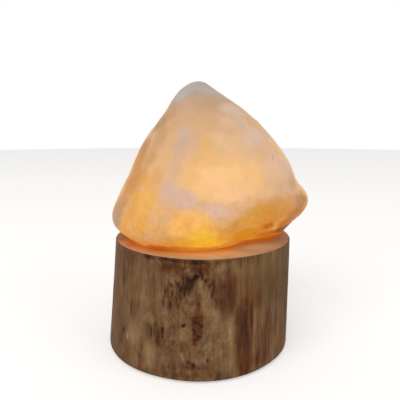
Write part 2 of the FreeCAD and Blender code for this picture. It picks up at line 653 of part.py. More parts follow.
def knuckles(middle, z_low, upward=True):
    """The rolled rings of a screw shell, as arcs that swell out and in by turns."""
    half_pitch = THREAD_PITCH / 2
    steps = []
    for k in range(2 * THREAD_TURNS):
        swing = THREAD_DEPTH / 2 if k % 2 == 0 else -THREAD_DEPTH / 2
        low = z_low + k * half_pitch
        end = low + half_pitch if upward else low
        steps.append(("arc", (middle + swing, low + half_pitch / 2), (middle, end)))
    return steps if upward else steps[::-1]


def make_screw_shell():
    """The brass shell that the bulb screws into, rolled to its thread, with a foot and a mouth."""
    low = BLOCK_TOP_Z
    floor_z = low + SHELL_WALL
    outer = SHELL_MIDDLE_RADIUS + SHELL_WALL
    mouth_outer = SHELL_MOUTH_RADIUS + SHELL_WALL
    return turned([
        (SHELL_FOOT_RADIUS, low),
        (outer + SHELL_FLANGE_WIDTH, low),
        (outer + SHELL_FLANGE_WIDTH, floor_z),
        (outer, floor_z),
        (outer, BULB_CAP_Z),
        *knuckles(outer, BULB_CAP_Z),
        (mouth_outer, SHELL_TOP_Z),
        (SHELL_MOUTH_RADIUS, SHELL_TOP_Z),
        (SHELL_MIDDLE_RADIUS, THREAD_TOP_Z),
        *knuckles(SHELL_MIDDLE_RADIUS, BULB_CAP_Z, upward=False),
        (SHELL_MIDDLE_RADIUS, floor_z),
        (SHELL_FOOT_RADIUS, floor_z),
    ])


def make_centre_contact():
    """The sprung tongue that presses up on the bulb's tip: a bowed leaf on the block."""
    half = SHELL_FOOT_RADIUS - TONGUE_GAP
    thick = TONGUE_THICKNESS
    crest = BLOCK_TOP_Z + TONGUE_RISE
    return strip_along_y([
        (-half, BLOCK_TOP_Z),
        (-half + thick, BLOCK_TOP_Z),
        ("arc", (0, crest), (half - thick, BLOCK_TOP_Z)),
        (half, BLOCK_TOP_Z),
        (half, BLOCK_TOP_Z + thick),
        ("arc", (0, crest + thick), (-half, BLOCK_TOP_Z + thick)),
    ], TONGUE_WIDTH)


# ---------------------------------------------------------------- the bulb


def make_bulb_cap():
    """The bulb's metal screw cap: rolled rings, a plain neck and a rim round the glass."""
    top = BULB_CAP_FLARE_Z + BULB_CAP_FLARE_LENGTH
    rim_inner = GLASS_NECK_RADIUS + FIT_CLEARANCE
    return turned([
        (BULB_CAP_CORE_RADIUS, BULB_CAP_Z),
        (THREAD_MIDDLE_RADIUS, BULB_CAP_Z),
        *knuckles(THREAD_MIDDLE_RADIUS, BULB_CAP_Z),
        (THREAD_MIDDLE_RADIUS, BULB_CAP_NECK_Z),
        (BULB_CAP_RIM_RADIUS, BULB_CAP_FLARE_Z),
        (BULB_CAP_RIM_RADIUS, top),
        (rim_inner, top),
        (rim_inner, BULB_CAP_FLARE_Z),
        (BULB_CAP_CORE_RADIUS, BULB_CAP_NECK_Z),
    ])


def make_bulb_insulator():
    """The black glass ring between the cap and the tip."""
    return turned([
        (0, INSULATOR_Z),
        (BULB_TIP_RADIUS + INSULATOR_RIM, INSULATOR_Z),
        (BULB_CAP_CORE_RADIUS, BULB_CAP_Z),
        (BULB_CAP_CORE_RADIUS, BULB_CAP_Z + INSULATOR_SPIGOT_HEIGHT),
        (0, BULB_CAP_Z + INSULATOR_SPIGOT_HEIGHT),
    ])


def make_bulb_tip():
    """The soldered tip over the holder's centre contact."""
    edge_z = INSULATOR_Z - BULB_TIP_RIM
    bulge = (BULB_TIP_RADIUS * 0.7, BULB_TIP_Z + (edge_z - BULB_TIP_Z) * 0.3)
    return turned([
        (0, BULB_TIP_Z),
        ("arc", bulge, (BULB_TIP_RADIUS, edge_z)),
        (BULB_TIP_RADIUS, INSULATOR_Z),
        (0, INSULATOR_Z),
    ])


def glass_body(wall):
    """The glass envelope's outside, or its inside where a wall is stated."""
    round_off = GLASS_RADIUS - GLASS_NECK_RADIUS
    bend = round_off - wall
    belly = GLASS_RADIUS - wall
    low_z = GLASS_Z + GLASS_NECK_LENGTH + round_off
    high_z = GLASS_TOP_Z - GLASS_RADIUS
    diagonal = math.sqrt(0.5)
    bulb = turned([
        (0, low_z - bend),
        (GLASS_NECK_RADIUS, low_z - bend),
        ("arc", (GLASS_NECK_RADIUS + bend * diagonal, low_z - bend * diagonal), (belly, low_z)),
        (belly, high_z),
        ("arc", (belly * diagonal, high_z + belly * diagonal), (0, high_z + belly)),
    ])
    return bulb.fuse(cylinder(GLASS_NECK_RADIUS - wall, GLASS_Z, low_z)).removeSplitter()


def make_bulb_glass():
    """The hollow glass envelope, open at its neck, where the stem closes it."""
    return glass_body(0).cut(glass_body(GLASS_WALL))


def make_bulb_stem():
    """The glass stem: a flare sealed in the neck, and a rod that carries the wires."""
    flare = GLASS_NECK_RADIUS - GLASS_WALL
    bulge = (STEM_RADIUS + STEM_FLARE_RADIUS, GLASS_Z + STEM_FLARE_LENGTH / 2)
    stem = turned([
        (0, GLASS_Z),
        (flare, GLASS_Z),
        (flare, GLASS_Z + STEM_FLARE_RADIUS),
        ("arc", bulge, (STEM_RADIUS, GLASS_Z + STEM_FLARE_LENGTH)),
        (STEM_RADIUS, STEM_TOP_Z),
        (0, STEM_TOP_Z),
    ])
    return stem.cut(lead_wires())


def lead_wires():
    """The straight wires that stand in the stem: the middle support, then the two leads."""
    foot_z = STEM_TOP_Z - LEAD_EMBEDMENT
    wires = [cylinder(LEAD_RADIUS, foot_z, LEAD_TOP_Z + FILAMENT_RISE - FILAMENT_RADIUS)]
    for side in (-1, 1):
        foot = Vector(side * STEM_RADIUS / 3, 0, foot_z)
        bend = Vector(side * STEM_RADIUS / 3, 0, STEM_TOP_Z + LEAD_RADIUS)
        run = Vector(side * LEAD_SPREAD, 0, LEAD_TOP_Z) - bend
        upright = cylinder(LEAD_RADIUS, foot_z, bend.z, foot.x)
        slanted = Part.makeCylinder(LEAD_RADIUS, run.Length, bend, run)
        wires.append(upright.fuse([slanted, Part.makeSphere(LEAD_RADIUS, bend)]).removeSplitter())
    return wires


def make_bulb_leads():
    """The two leads that spread to the filament's ends, and the support between them."""
    return Part.Compound(lead_wires())


def make_filament():
    """The filament: a wire arch from one lead's end to the other's."""
    low = LEAD_TOP_Z + LEAD_RADIUS + FILAMENT_RADIUS
    crest = LEAD_TOP_Z + FILAMENT_RISE
    arch = Part.Arc(Vector(-LEAD_SPREAD, 0, low), Vector(0, 0, crest), Vector(LEAD_SPREAD, 0, low))
    path = Part.Wire(arch.toShape())
    ring = Part.Circle(arch.StartPoint, arch.tangent(arch.FirstParameter)[0], FILAMENT_RADIUS)
    return path.makePipeShell([Part.Wire(ring.toShape())], True, False)


# ---------------------------------------------------------------- all the pieces


PIECES = {
    "log_base": make_log_base,
    "felt_pads": make_felt_pads,
    "cord_keeper": make_cord_keeper,
    "keeper_screws": make_keeper_screws,
    "salt_crystal": make_salt_crystal,
    "crystal_plugs": make_crystal_plugs,
    "fixing_screws": make_fixing_screws,
    "screw_washers": make_screw_washers,
    "holder_sleeve": make_holder_sleeve,
    "holder_cap": make_holder_cap,
    "cord_grip_screw": make_cord_grip_screw,
    "ring_nut": make_ring_nut,
    "retaining_spring": make_retaining_spring,
    "contact_block": make_contact_block,
    "terminals": make_terminals,
    "terminal_screws": make_terminal_screws,
    "screw_shell": make_screw_shell,
    "centre_contact": make_centre_contact,
    "bulb_cap": make_bulb_cap,
    "bulb_insulator": make_bulb_insulator,
    "bulb_tip": make_bulb_tip,
    "bulb_glass": make_bulb_glass,
    "bulb_stem": make_bulb_stem,
    "bulb_leads": make_bulb_leads,
    "filament": make_filament,
}


def main():
    """Builds each piece, prints its size and writes it to parts/NAME.step."""
    os.makedirs("parts", exist_ok=True)
    for name, make in PIECES.items():
        shape = make()
        size = shape.BoundBox
        print(
            f"{name}: {len(shape.Solids)} solid(s), {shape.Volume / 1000:.2f} cm3, valid {shape.isValid()}, "
            f"x {size.XMin:.1f}..{size.XMax:.1f} y {size.YMin:.1f}..{size.YMax:.1f} "
            f"z {size.ZMin:.1f}..{size.ZMax:.1f}"
        )
        shape.exportStep(os.path.join("parts", name + ".step"))


main()
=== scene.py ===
"""Salt crystal lamp: the looks of its pieces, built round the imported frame.

Lengths are in metres, unless a name ends in _mm. The frame is the part's own: +Z up, the lamp's
front towards -Y, and the origin on the surface that it stands on, under the middle of its bore.
"""
import logging
import math
from dataclasses import dataclass
from enum import Enum
from typing import Any

import bpy
import numpy as np
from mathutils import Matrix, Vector, noise
from mathutils.bvhtree import BVHTree


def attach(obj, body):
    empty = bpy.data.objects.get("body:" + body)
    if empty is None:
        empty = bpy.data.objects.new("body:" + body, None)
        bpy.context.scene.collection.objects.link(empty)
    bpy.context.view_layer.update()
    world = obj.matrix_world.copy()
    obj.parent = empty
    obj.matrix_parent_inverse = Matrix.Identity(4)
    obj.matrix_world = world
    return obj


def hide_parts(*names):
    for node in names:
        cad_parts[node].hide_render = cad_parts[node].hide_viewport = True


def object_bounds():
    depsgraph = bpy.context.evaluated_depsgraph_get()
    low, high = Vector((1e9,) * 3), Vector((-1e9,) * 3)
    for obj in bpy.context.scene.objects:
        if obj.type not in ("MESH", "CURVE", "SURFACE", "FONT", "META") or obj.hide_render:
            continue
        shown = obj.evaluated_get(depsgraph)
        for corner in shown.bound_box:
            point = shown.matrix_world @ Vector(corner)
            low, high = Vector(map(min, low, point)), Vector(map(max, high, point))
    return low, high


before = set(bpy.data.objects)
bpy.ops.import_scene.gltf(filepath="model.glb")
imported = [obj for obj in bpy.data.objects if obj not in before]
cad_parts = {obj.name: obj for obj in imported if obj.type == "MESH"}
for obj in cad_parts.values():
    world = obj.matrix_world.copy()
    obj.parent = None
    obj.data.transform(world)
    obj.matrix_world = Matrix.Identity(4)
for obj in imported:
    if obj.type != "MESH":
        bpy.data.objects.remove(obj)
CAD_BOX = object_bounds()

LOGGER = logging.getLogger("salt_crystal_lamp")
MM = 0.001
Colour = tuple[float, float, float, float]
Triple = tuple[float, float, float]
Stops = tuple[tuple[float, str], ...]
Terms = tuple[tuple[str, float], ...]
Tree = bpy.types.NodeTree
Material = bpy.types.Material
Piece = bpy.types.Object

# settings of nodes that come up often
EASED = {"interpolation_type": "SMOOTHSTEP"}
RGBA = {"data_type": "RGBA"}
PLUS = {"operation": "ADD"}
MINUS = {"operation": "SUBTRACT"}
TIMES = {"operation": "MULTIPLY"}
TIMES_PLUS = {"operation": "MULTIPLY_ADD"}
SCALED = {"operation": "SCALE"}
LENGTH = {"operation": "LENGTH"}
LARGER = {"operation": "MAXIMUM"}


# ---------------------------------------------------------------- helpers for colours and nodes


def linear(hex_colour: str) -> Colour:
    """Turns an sRGB colour to the linear RGBA that a socket takes.

    Args:
        hex_colour: The colour as "#RRGGBB".

    Returns:
        The linear red, green and blue, and an alpha of 1.
    """
    shares = [int(hex_colour[k : k + 2], 16) / 255 for k in (1, 3, 5)]
    red, green, blue = (s / 12.92 if s <= 0.04045 else ((s + 0.055) / 1.055) ** 2.4 for s in shares)
    return red, green, blue, 1.0


def per_metre(size_mm: float) -> float:
    """The scale of a pattern on metres whose features are this many millimetres wide."""
    return 1 / (size_mm * MM)


def add_node(
    tree: Tree,
    kind: str,
    settings: dict[str, Any] | None = None,
    inputs: dict[str | int, Any] | None = None,
    out: int = 0,
) -> Any:
    """Adds a shader node, with its settings and its links.

    Args:
        tree: The node tree.
        kind: The node's type, without its leading "ShaderNode".
        settings: Its properties. "stops" gives a colour ramp's (place, hex colour) pairs.
        inputs: Its inputs by name or number: a socket is linked, and anything else is set.
        out: The number of the output to return.

    Returns:
        That output socket, or the node itself where it has none.
    """
    node = tree.nodes.new("ShaderNode" + kind)
    for name, value in (settings or {}).items():
        if name == "stops":
            elements = node.color_ramp.elements
            while len(elements) < len(value):
                elements.new(1.0)
            for element, (place, colour) in zip(elements, value):
                element.position = place
                element.color = linear(colour)
        else:
            setattr(node, name, value)
    for key, value in (inputs or {}).items():
        if isinstance(value, bpy.types.NodeSocket):
            tree.links.new(value, node.inputs[key])
        else:
            node.inputs[key].default_value = value
    return node.outputs[out] if node.outputs else node


def new_material(name: str) -> tuple[Material, Tree]:
    """Starts an empty material that uses nodes.

    Args:
        name: The real material's name.

    Returns:
        The material and its node tree.
    """
    material = bpy.data.materials.new(name)
    material.use_nodes = True
    material.node_tree.nodes.clear()
    return material, material.node_tree


def finish_surface(tree: Tree, inputs: dict[str | int, Any]) -> None:
    """Closes a material with a Principled shader, whose inputs are as add_node takes them."""
    shader = add_node(tree, "BsdfPrincipled", None, inputs)
    add_node(tree, "OutputMaterial", None, {"Surface": shader})


def sum_of(tree: Tree, start: Any, terms: list[tuple[Any, float]]) -> Any:
    """Adds weighted terms to a value, with a node for each.

    Args:
        tree: The node tree.
        start: The value to start from, a number or a socket.
        terms: The (socket, weight) pairs to add.

    Returns:
        The sum's socket.
    """
    total = start
    for term, weight in terms:
        total = add_node(tree, "Math", TIMES_PLUS, {0: term, 1: weight, 2: total})
    return total


@dataclass(frozen=True)
class Span:
    """A range that values are read in: low at its start and before, high at its end and past it."""

    start: float
    end: float
    low: float = 0.0
    high: float = 1.0

    def of(self, value: Any, unit: float = 1.0) -> dict[str, Any]:
        """Gives a Map Range node's inputs for a socket's value. unit is what start and end are in."""
        ends = {"From Min": self.start * unit, "From Max": self.end * unit}
        return {"Value": value, **ends, "To Min": self.low, "To Max": self.high}

    def eased(self, values: np.ndarray) -> np.ndarray:
        """Turns each of some values in code, as an eased Map Range node does."""
        share = np.clip((values - self.start) / (self.end - self.start), 0.0, 1.0)
        return self.low + (self.high - self.low) * share * share * (3 - 2 * share)


@dataclass(frozen=True)
class Finish:
    """A real material: its name, and the pattern that each kind of finish draws for it."""

    name: str

    def finish(self) -> Material:
        """Makes the material, in the classes for each kind."""
        raise NotImplementedError(self.name)


@dataclass(frozen=True)
class Cloud:
    """A soft spot of its own colour, as a stain, a milky cloud or a clear window in the salt.

    It also marks pools of painted light and spots of painted shade. core is how far out the full
    strength reaches, as a share of the radii.
    """

    centre_mm: Triple
    radii_mm: Triple
    colour: str
    strength: float = 0.85
    core: float = 0.25
    mottled: bool = False

    def mask(self, tree: Tree, place: Any) -> Any:
        """Adds a soft ellipsoid: the full strength inside the core, and none past the radii.

        Args:
            tree: The node tree.
            place: The socket of the point that is shaded.

        Returns:
            The mask's socket.
        """
        scale = [1 / (r * MM) for r in self.radii_mm]
        shift = [-c * MM * s for c, s in zip(self.centre_mm, scale)]
        inputs = {0: place, 1: scale, 2: shift}
        local = add_node(tree, "VectorMath", TIMES_PLUS, inputs)
        away = add_node(tree, "VectorMath", LENGTH, {0: local}, out=1)
        return add_node(tree, "MapRange", EASED, Span(1.0, self.core, high=self.strength).of(away))


# ---------------------------------------------------------------- helpers for meshes


def deselect_all() -> None:
    """Deselects every object, because an operator acts on all that is selected."""
    if bpy.context.object and bpy.context.object.mode != "OBJECT":
        bpy.ops.object.mode_set(mode="OBJECT")
    bpy.ops.object.select_all(action="DESELECT")


def make_active(piece: Piece) -> None:
    """Selects one object alone and makes it the active one.

    Args:
        piece: The object.
    """
    deselect_all()
    piece.select_set(True)
    bpy.context.view_layer.objects.active = piece


def settle(piece: Piece) -> None:
    """Moves an object's place, turn and scale into its mesh."""
    make_active(piece)
    bpy.ops.object.transform_apply(location=True, rotation=True, scale=True)


def copy_of_node(node: str, name: str) -> Piece:
    """Makes a new object from a CAD node's mesh, with its loose triangles joined.

    Args:
        node: The CAD node's name.
        name: The new object's name.

    Returns:
        The new object, which has no material.
    """
    piece = bpy.data.objects.new(name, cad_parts[node].data.copy())
    bpy.context.scene.collection.objects.link(piece)
    piece.data.materials.clear()
    make_active(piece)
    bpy.ops.mesh.customdata_custom_splitnormals_clear()
    bpy.ops.object.mode_set(mode="EDIT")
    bpy.ops.mesh.select_all(action="SELECT")
    bpy.ops.mesh.remove_doubles(threshold=1e-6)
    bpy.ops.object.mode_set(mode="OBJECT")
    return piece


def apply_modifier(piece: Piece, kind: str, settings: dict[str, Any]) -> None:
    """Adds a modifier to an object and applies it.

    Args:
        piece: The object.
        kind: The modifier's type.
        settings: Its properties.
    """
    make_active(piece)
    bpy.ops.object.modifier_add(type=kind)
    modifier = piece.modifiers[-1]
    for name, value in settings.items():
        setattr(modifier, name, value)
    bpy.ops.object.modifier_apply(modifier=modifier.name)


def points_of(piece: Piece, what: str = "co") -> np.ndarray:
    """Reads a mesh's points.

    Args:
        piece: The object.
        what: "co" for the points' places, or "normal" for their normals.

    Returns:
        The values, as rows of three.
    """
    values = np.zeros(len(piece.data.vertices) * 3)
    piece.data.vertices.foreach_get(what, values)
    return values.reshape(-1, 3)


def move_points(piece: Piece, points: np.ndarray) -> None:
    """Puts a mesh's points at new places, kept inside the CAD model's box.

    Args:
        piece: The object.
        points: The new places, as rows of three.
    """
    inside = np.clip(points, CAD_BOX[0], CAD_BOX[1])
    piece.data.vertices.foreach_set("co", inside.ravel())
    piece.data.update()


@dataclass(frozen=True)
class Relief:
    """A layer of smooth noise, from about -1 to 1 times its depth, with a width along each axis.

    shift sets the layer apart from the others, and each octave has fall of the last one's height
    at step times as many features.
    """

    depth_mm: float
    widths_mm: Triple
    shift: float
    octaves: int = 1
    fall: float = 0.8
    step: float = 2.1

    def at(self, points_mm: np.ndarray) -> np.ndarray:
        """The layer's height at some points.

        Args:
            points_mm: The points, as rows of three.

        Returns:
            One height in millimetres for each point.
        """
        places = [Vector(p) for p in points_mm / np.array(self.widths_mm) + self.shift]
        if self.octaves == 1:
            return self.depth_mm * np.array([noise.noise(p) for p in places])
        heights = [noise.fractal(p, self.fall, self.step, self.octaves) for p in places]
        return self.depth_mm * np.array(heights)


def add_attribute(piece: Piece, name: str, values: np.ndarray) -> None:
    """Stores one value, or one vector, for each of a mesh's points.

    Args:
        piece: The object.
        name: The attribute's name.
        values: The values, in one column or three.
    """
    vector = values.ndim == 2
    attribute = piece.data.attributes.new(name, "FLOAT_VECTOR" if vector else "FLOAT", "POINT")
    attribute.data.foreach_set("vector" if vector else "value", values.astype(np.float32).ravel())


# ---------------------------------------------------------------- the salt


@dataclass(frozen=True)
class RockSalt(Finish):
    """Rock salt, worn smooth and lit from inside.

    The eye sees through a satin skin into cloudy salt: milky lilac clouds, clear windows where the
    bulb shows yellow, ochre stains of clay low down, and an unlit grey tip. The bulb's light is
    painted into the colour and the emission, brightest and most orange low down, with painted shade
    along the crystal's edges and its foot.
    """

    name: str = "rock_salt_lit_from_inside"
    ior: float = 1.544
    # the widths and the reaches of the noise that bends the clouds' edges
    warps_mm: tuple[tuple[float, float], ...] = ((24.0, 4.5), (5.0, 1.5))
    foot_z_mm: float = 81.5
    top_z_mm: float = 195.0
    # the colour by height, mostly painted bulb light: bright orange at the foot, fading to unlit grey at
    # the top
    heights: Stops = (
        (81.5, "#E8963C"),
        (88.0, "#EDA04A"),
        (100.0, "#EDAB5E"),
        (112.0, "#E9B27C"),
        (123.0, "#EABA87"),
        (136.0, "#EDBE86"),
        (150.0, "#E3B486"),
        (164.0, "#DBAF85"),
        (175.0, "#D0A684"),
        (184.0, "#BCA48C"),
        (193.0, "#AAA497"),
    )
    # the salt's own colours and painted light: bright patches of painted bulb glow, and painted shade
    # along the edges and low under the nose
    clouds: tuple[Cloud, ...] = (
        # the unlit tip, and the tan salt under it
        Cloud((-12, -7, 195), (18, 18, 13), "#B6AEA7", 0.95, 0.3),
        Cloud((-16, -10, 187), (9, 10, 8), "#BDB4AC", 0.7),
        Cloud((-1, -10, 188), (10, 11, 7), "#C2B3A8", 0.7),
        Cloud((-20, -9, 185), (9, 11, 10), "#BEB5B0"),
        Cloud((-19, -14, 174), (7, 9, 8), "#BBA189", 0.75, 0.0),
        Cloud((-3, -22, 175), (16, 14, 10), "#C9A27C", 0.75),
        Cloud((-26, -16, 170), (7, 10, 9), "#C39870", 0.7),
        Cloud((-22, -22, 161), (8, 12, 8), "#C99E74", 0.5),
        Cloud((-10, -14, 180), (7, 9, 5), "#BCA89A", 0.5),
        # the pinkish right shoulder
        Cloud((17, -19, 174), (12, 14, 9), "#DABCA6", 0.9, 0.4),
        Cloud((14, -30, 164), (12, 13, 8), "#E2B896", 0.8),
        Cloud((23, -24, 166), (9, 10, 7), "#DDBCA4", 0.7),
        Cloud((32, -25, 156), (14, 14, 12), "#E2C0AC", 0.8),
        Cloud((45, -24, 142), (12, 14, 13), "#E1B89C", 0.75),
        # the tan and orange left shoulder, darkened along the left edge as painted shade
        Cloud((-34, -9, 164), (13, 17, 12), "#B48A60", 0.85),
        Cloud((-27, -8, 177), (9, 13, 7), "#B89B80", 0.8),
        Cloud((-33, -23, 155), (12, 16, 14), "#CC965E", 0.75),
        Cloud((-46, -8, 147), (13, 18, 13), "#B98556", 0.8),
        Cloud((-39, -26, 142), (10, 14, 12), "#CE965A", 0.8),
        Cloud((-44, -27, 130), (10, 12, 10), "#DC9E54", 0.75),
        Cloud((-50, -15, 136), (15, 22, 15), "#CC8844", 0.85),
        Cloud((-54, -20, 123), (15, 22, 14), "#D08A46", 0.85),
        # the yellow vein
        Cloud((-1, -43, 150), (6.5, 11, 17), "#E9B673"),
        Cloud((-5, -50, 138), (9, 10, 8), "#F0BA76", 0.7),
        Cloud((17, -38, 150), (16, 14, 12), "#EDC090", 0.75),
        Cloud((8, -39, 156), (9, 11, 8), "#EABF93", 0.7),
        # the milky lilac river beside it, and the pool that it ends in
        Cloud((-16, -37, 157), (7, 12, 13), "#D4B3A2", 0.9),
        Cloud((-17, -43, 148), (9, 12, 10), "#D8B196", 0.8),
        Cloud((-21, -47, 137), (8, 11, 11), "#DEB292", 0.8),
        Cloud((-25, -51, 122), (8, 11, 12), "#DDB6A4", 0.9),
        Cloud((-15, -57, 118), (14, 11, 8), "#DEB8A4", 0.9),
        # the bright peach window in the middle, painted bulb light shining through clear salt
        Cloud((6, -51, 130), (29, 24, 15), "#FFCA8C", 1.0, 0.25),
        Cloud((-10, -53, 130), (9, 11, 8), "#F4BC78", 0.8),
        Cloud((2, -49, 143), (14, 12, 9), "#F5BE7A", 0.7, 0.0),
        Cloud((-5, -56, 123), (9, 10, 7), "#FCC786", 0.85),
        Cloud((22, -46, 136), (15, 14, 8), "#FFCA8A", 0.75, 0.0),
        Cloud((17, -44, 141), (16, 13, 6), "#F9C383", 0.7),
        Cloud((11, -55, 120), (20, 14, 8), "#FEC890", 0.95),
        Cloud((32, -40, 131), (2.6, 6, 3), "#FFD0A6", 0.7),
        Cloud((31, -41, 130), (13, 15, 14), "#FCC482", 0.95, 0.1),
        Cloud((19, -51, 120), (9, 10, 6), "#FBC793", 0.85),
        Cloud((26, -46, 122), (8, 10, 5), "#FFCA8A", 0.6),
        # the orange yellow left side, painted bulb light, and its grey edge, painted shade along the
        # left side
        Cloud((-40, -36, 126), (8, 13, 8), "#EBAC52", 0.8),
        Cloud((-39, -42, 119), (10, 12, 8), "#EDAF52", 0.8),
        Cloud((-49, -35, 117), (8, 12, 8), "#E7A548", 0.8),
        Cloud((-42, -44, 112), (13, 18, 14), "#F3B55E", 0.95, 0.3),
        Cloud((-44, -48, 99), (13, 16, 12), "#ECAA52", 0.9, 0.3),
        Cloud((-51, -38, 108), (7, 12, 11), "#E6A24C", 0.7),
        Cloud((-33, -38, 129), (8, 12, 12), "#E0A266", 0.6),
        Cloud((-33, -54, 103), (9, 12, 8), "#EDB880", 0.85),
        Cloud((-26, -57, 106), (6, 10, 11), "#E6B482", 0.7),
        Cloud((-31, -57, 97), (10, 11, 8), "#E9AC60", 0.7),
        Cloud((-66, -27, 102), (12, 22, 14), "#BA9276", 0.9, 0.4),
        Cloud((-67, -24, 95), (12, 20, 9), "#B5957C", 0.9, 0.4),
        Cloud((-60, -25, 111), (10, 15, 9), "#C89258", 0.85),
        # the milky lilac cloud over the bright foot
        Cloud((5, -60, 112), (14, 10, 7), "#E5BBA0", 0.95),
        Cloud((11, -58, 106), (8, 9, 5), "#DEB18E", 0.8),
        # the bright yellow lobe at the foot, painted bulb light
        Cloud((-10, -61, 101), (19, 13, 14), "#FABC66", 0.95, 0.6),
        Cloud((-10, -61, 110), (10, 8, 5), "#F6BC76", 0.6),
        Cloud((-12, -60, 89), (16, 14, 8), "#F9B240", 0.9, 0.5),
        Cloud((-2, -60, 95), (12, 12, 9), "#FFC248", 1.0, 0.35),
        Cloud((2, -56, 88), (16, 14, 8), "#FFC236", 1.0, 0.5),
        Cloud((-23, -58, 92), (8, 11, 6), "#E2A354", 0.7, mottled=True),
        Cloud((-12, -60, 103), (6, 8, 9), "#F4A94C", 0.5, mottled=True),
        Cloud((3, -60, 102), (8, 8, 5), "#F7B448", 0.7, mottled=True),
        # the clay stain low on the right
        Cloud((42, -40, 105), (28, 27, 12), "#DE9836", 0.95, 0.6),
        Cloud((26, -40, 90), (18, 18, 8), "#E2901C", 0.95, 0.5),
        Cloud((50, -33, 114), (21, 20, 6), "#D69C60", 0.7, 0.3),
        Cloud((35, -45, 114), (12, 12, 4), "#DFA76C", 0.6),
        Cloud((20, -54, 102), (13, 13, 7), "#E09C42"),
        Cloud((26, -51, 109), (9, 10, 4), "#DC9E58", 0.7),
        Cloud((10, -59, 104), (7, 8, 5), "#E6B06C", 0.8),
        Cloud((28, -48, 102), (9, 11, 5), "#EAA43E", 0.7, mottled=True),
        Cloud((39, -39, 101), (10, 14, 9), "#E49434", 0.9, mottled=True),
        Cloud((48, -34, 104), (12, 14, 7), "#CE8838", 0.7, mottled=True),
        Cloud((39, -34, 95), (11, 14, 6), "#DA8022", 0.85),
        Cloud((41, -33, 95.5), (7, 10, 5), "#C25C12", 0.85, mottled=True),
        Cloud((52, -27, 99), (10, 14, 6), "#E89C42", 0.8),
        Cloud((53, -32, 107), (10, 13, 6), "#DE9E5A", 0.6),
        Cloud((20, -50, 95), (12, 12, 5), "#DD9134", 0.8, mottled=True),
        Cloud((31, -37, 92), (12, 14, 5), "#E29026", 0.8),
        Cloud((42, -26, 88), (14, 14, 5), "#CE6E18", 0.85, 0.3),
        Cloud((12, -54, 92), (10, 11, 6), "#EDA63A", 0.85),
        Cloud((10, -57, 98), (7, 8, 4), "#E4A648", 0.7, mottled=True),
        Cloud((16, -55, 99), (7, 9, 5), "#CA8C44", 0.65, mottled=True),
        Cloud((23, -50, 97), (6, 9, 5), "#D89840", 0.6, mottled=True),
        # the grey pink right side, and the nose that sticks out, with dark orange painted shade at the
        # right edge and low under the nose
        Cloud((58, -20, 128), (10, 16, 18), "#D8B3A0"),
        Cloud((59, -20, 124), (8, 14, 8), "#C8986C", 0.6),
        Cloud((51, -22, 135), (9, 14, 9), "#D8B8A6", 0.65),
        Cloud((26, -31, 155), (11, 12, 10), "#E1C0AA", 0.6),
        Cloud((50, -30, 121), (10, 14, 9), "#DAB294", 0.7),
        Cloud((43, -31, 134), (13, 15, 13), "#E7BE9A", 0.7),
        Cloud((44, -26, 142.5), (0.7, 4, 3.2), "#A96A42", 0.6),
        Cloud((66, -20, 111), (13, 18, 10), "#BC8654", 0.9),
        Cloud((63, -21, 101), (13, 17, 9), "#C07E42", 0.9),
        Cloud((57, -20, 93), (12, 16, 8), "#BE7018", 0.95, 0.4),
        Cloud((55, -17, 89), (13, 15, 4.5), "#96500A", 0.9, 0.4),
        # the sides and the back
        Cloud((64, 18, 112), (14, 16, 16), "#EDB265", 0.85),
        Cloud((46, 38, 126), (14, 14, 18), "#D9B4A0", 0.85),
        Cloud((18, 52, 104), (20, 12, 15), "#F8BC66", 0.9, 0.4),
        Cloud((-14, 50, 128), (19, 14, 13), "#FBC78C", 0.9),
        Cloud((-36, 44, 100), (20, 15, 12), "#D8953F", 0.9, 0.4),
        Cloud((-30, 34, 150), (12, 14, 14), "#D6B5A4", 0.8),
        Cloud((8, 38, 152), (10, 14, 15), "#E6B375", 0.8),
        Cloud((-60, 16, 112), (12, 16, 14), "#F1B25E", 0.85),
        Cloud((50, 24, 92), (14, 14, 7), "#C9701C", 0.85),
        Cloud((-52, -4, 90), (12, 12, 6), "#D98B3B", 0.7),
    )
    # the foot's line: painted shade where the salt meets the log, tinted by the glow, and spots of
    # painted bulb light along it
    foot_shade_line: str = "#C26408"
    foot_shade_line_mm: Span = Span(86.4, 84.6, high=0.95)
    foot_lights: tuple[Cloud, ...] = (
        Cloud((5, -47, 83), (38, 22, 14), "#E4962C", 0.9, 0.4),
        Cloud((40, -30, 87.5), (24, 20, 4.5), "#D8862C", 0.9, 0.4),
        Cloud((-44, -36, 84), (14, 14, 8), "#D8843C", 0.7, 0.3),
    )
    # the shift of each veil's pattern, its colour, and its strength by the pattern's value
    veils: tuple[tuple[float, str, Span], ...] = (
        (0.0, "#DBB8A4", Span(0.5, 0.68, high=0.4)),
        (0.37, "#F0B566", Span(0.5, 0.68, high=0.3)),
    )
    veil_mm: float = 26.0
    mottle_mm: float = 4.5
    mottle: Span = Span(0.36, 0.6, 0.3)
    # the colour's level, and how strongly the fine and the broad grain change it
    level: float = 0.94
    fine_mm: float = 3.0
    fine_share: float = 0.42
    broad_mm: float = 11.0
    broad_share: float = 0.16
    # how much the grain and the flecks show at each height
    grain_by_height_mm: Span = Span(125.0, 100.0, 0.25)
    fleck_colour: str = "#8A5326"
    fleck_mm: float = 6.0
    fleck: Span = Span(0.16, 0.04, high=0.5)
    dirt_mm: float = 20.0
    dirt: Span = Span(0.42, 0.55)
    # the share of the colour that is reflected, by how far from the bulb it is; the rest is painted bulb
    # light, given as emission
    bulb_centre_mm: Triple = (0.0, 0.0, 100.0)
    reflected_mm: Span = Span(45.0, 95.0, 0.34, 0.85)
    skin_mm: float = 1.5
    skin_depth_mm: float = 0.35
    polish_mm: float = 14.0
    roughness: Span = Span(0.3, 0.7, 0.42, 0.68)
    glow_depth_mm: float = 4.0

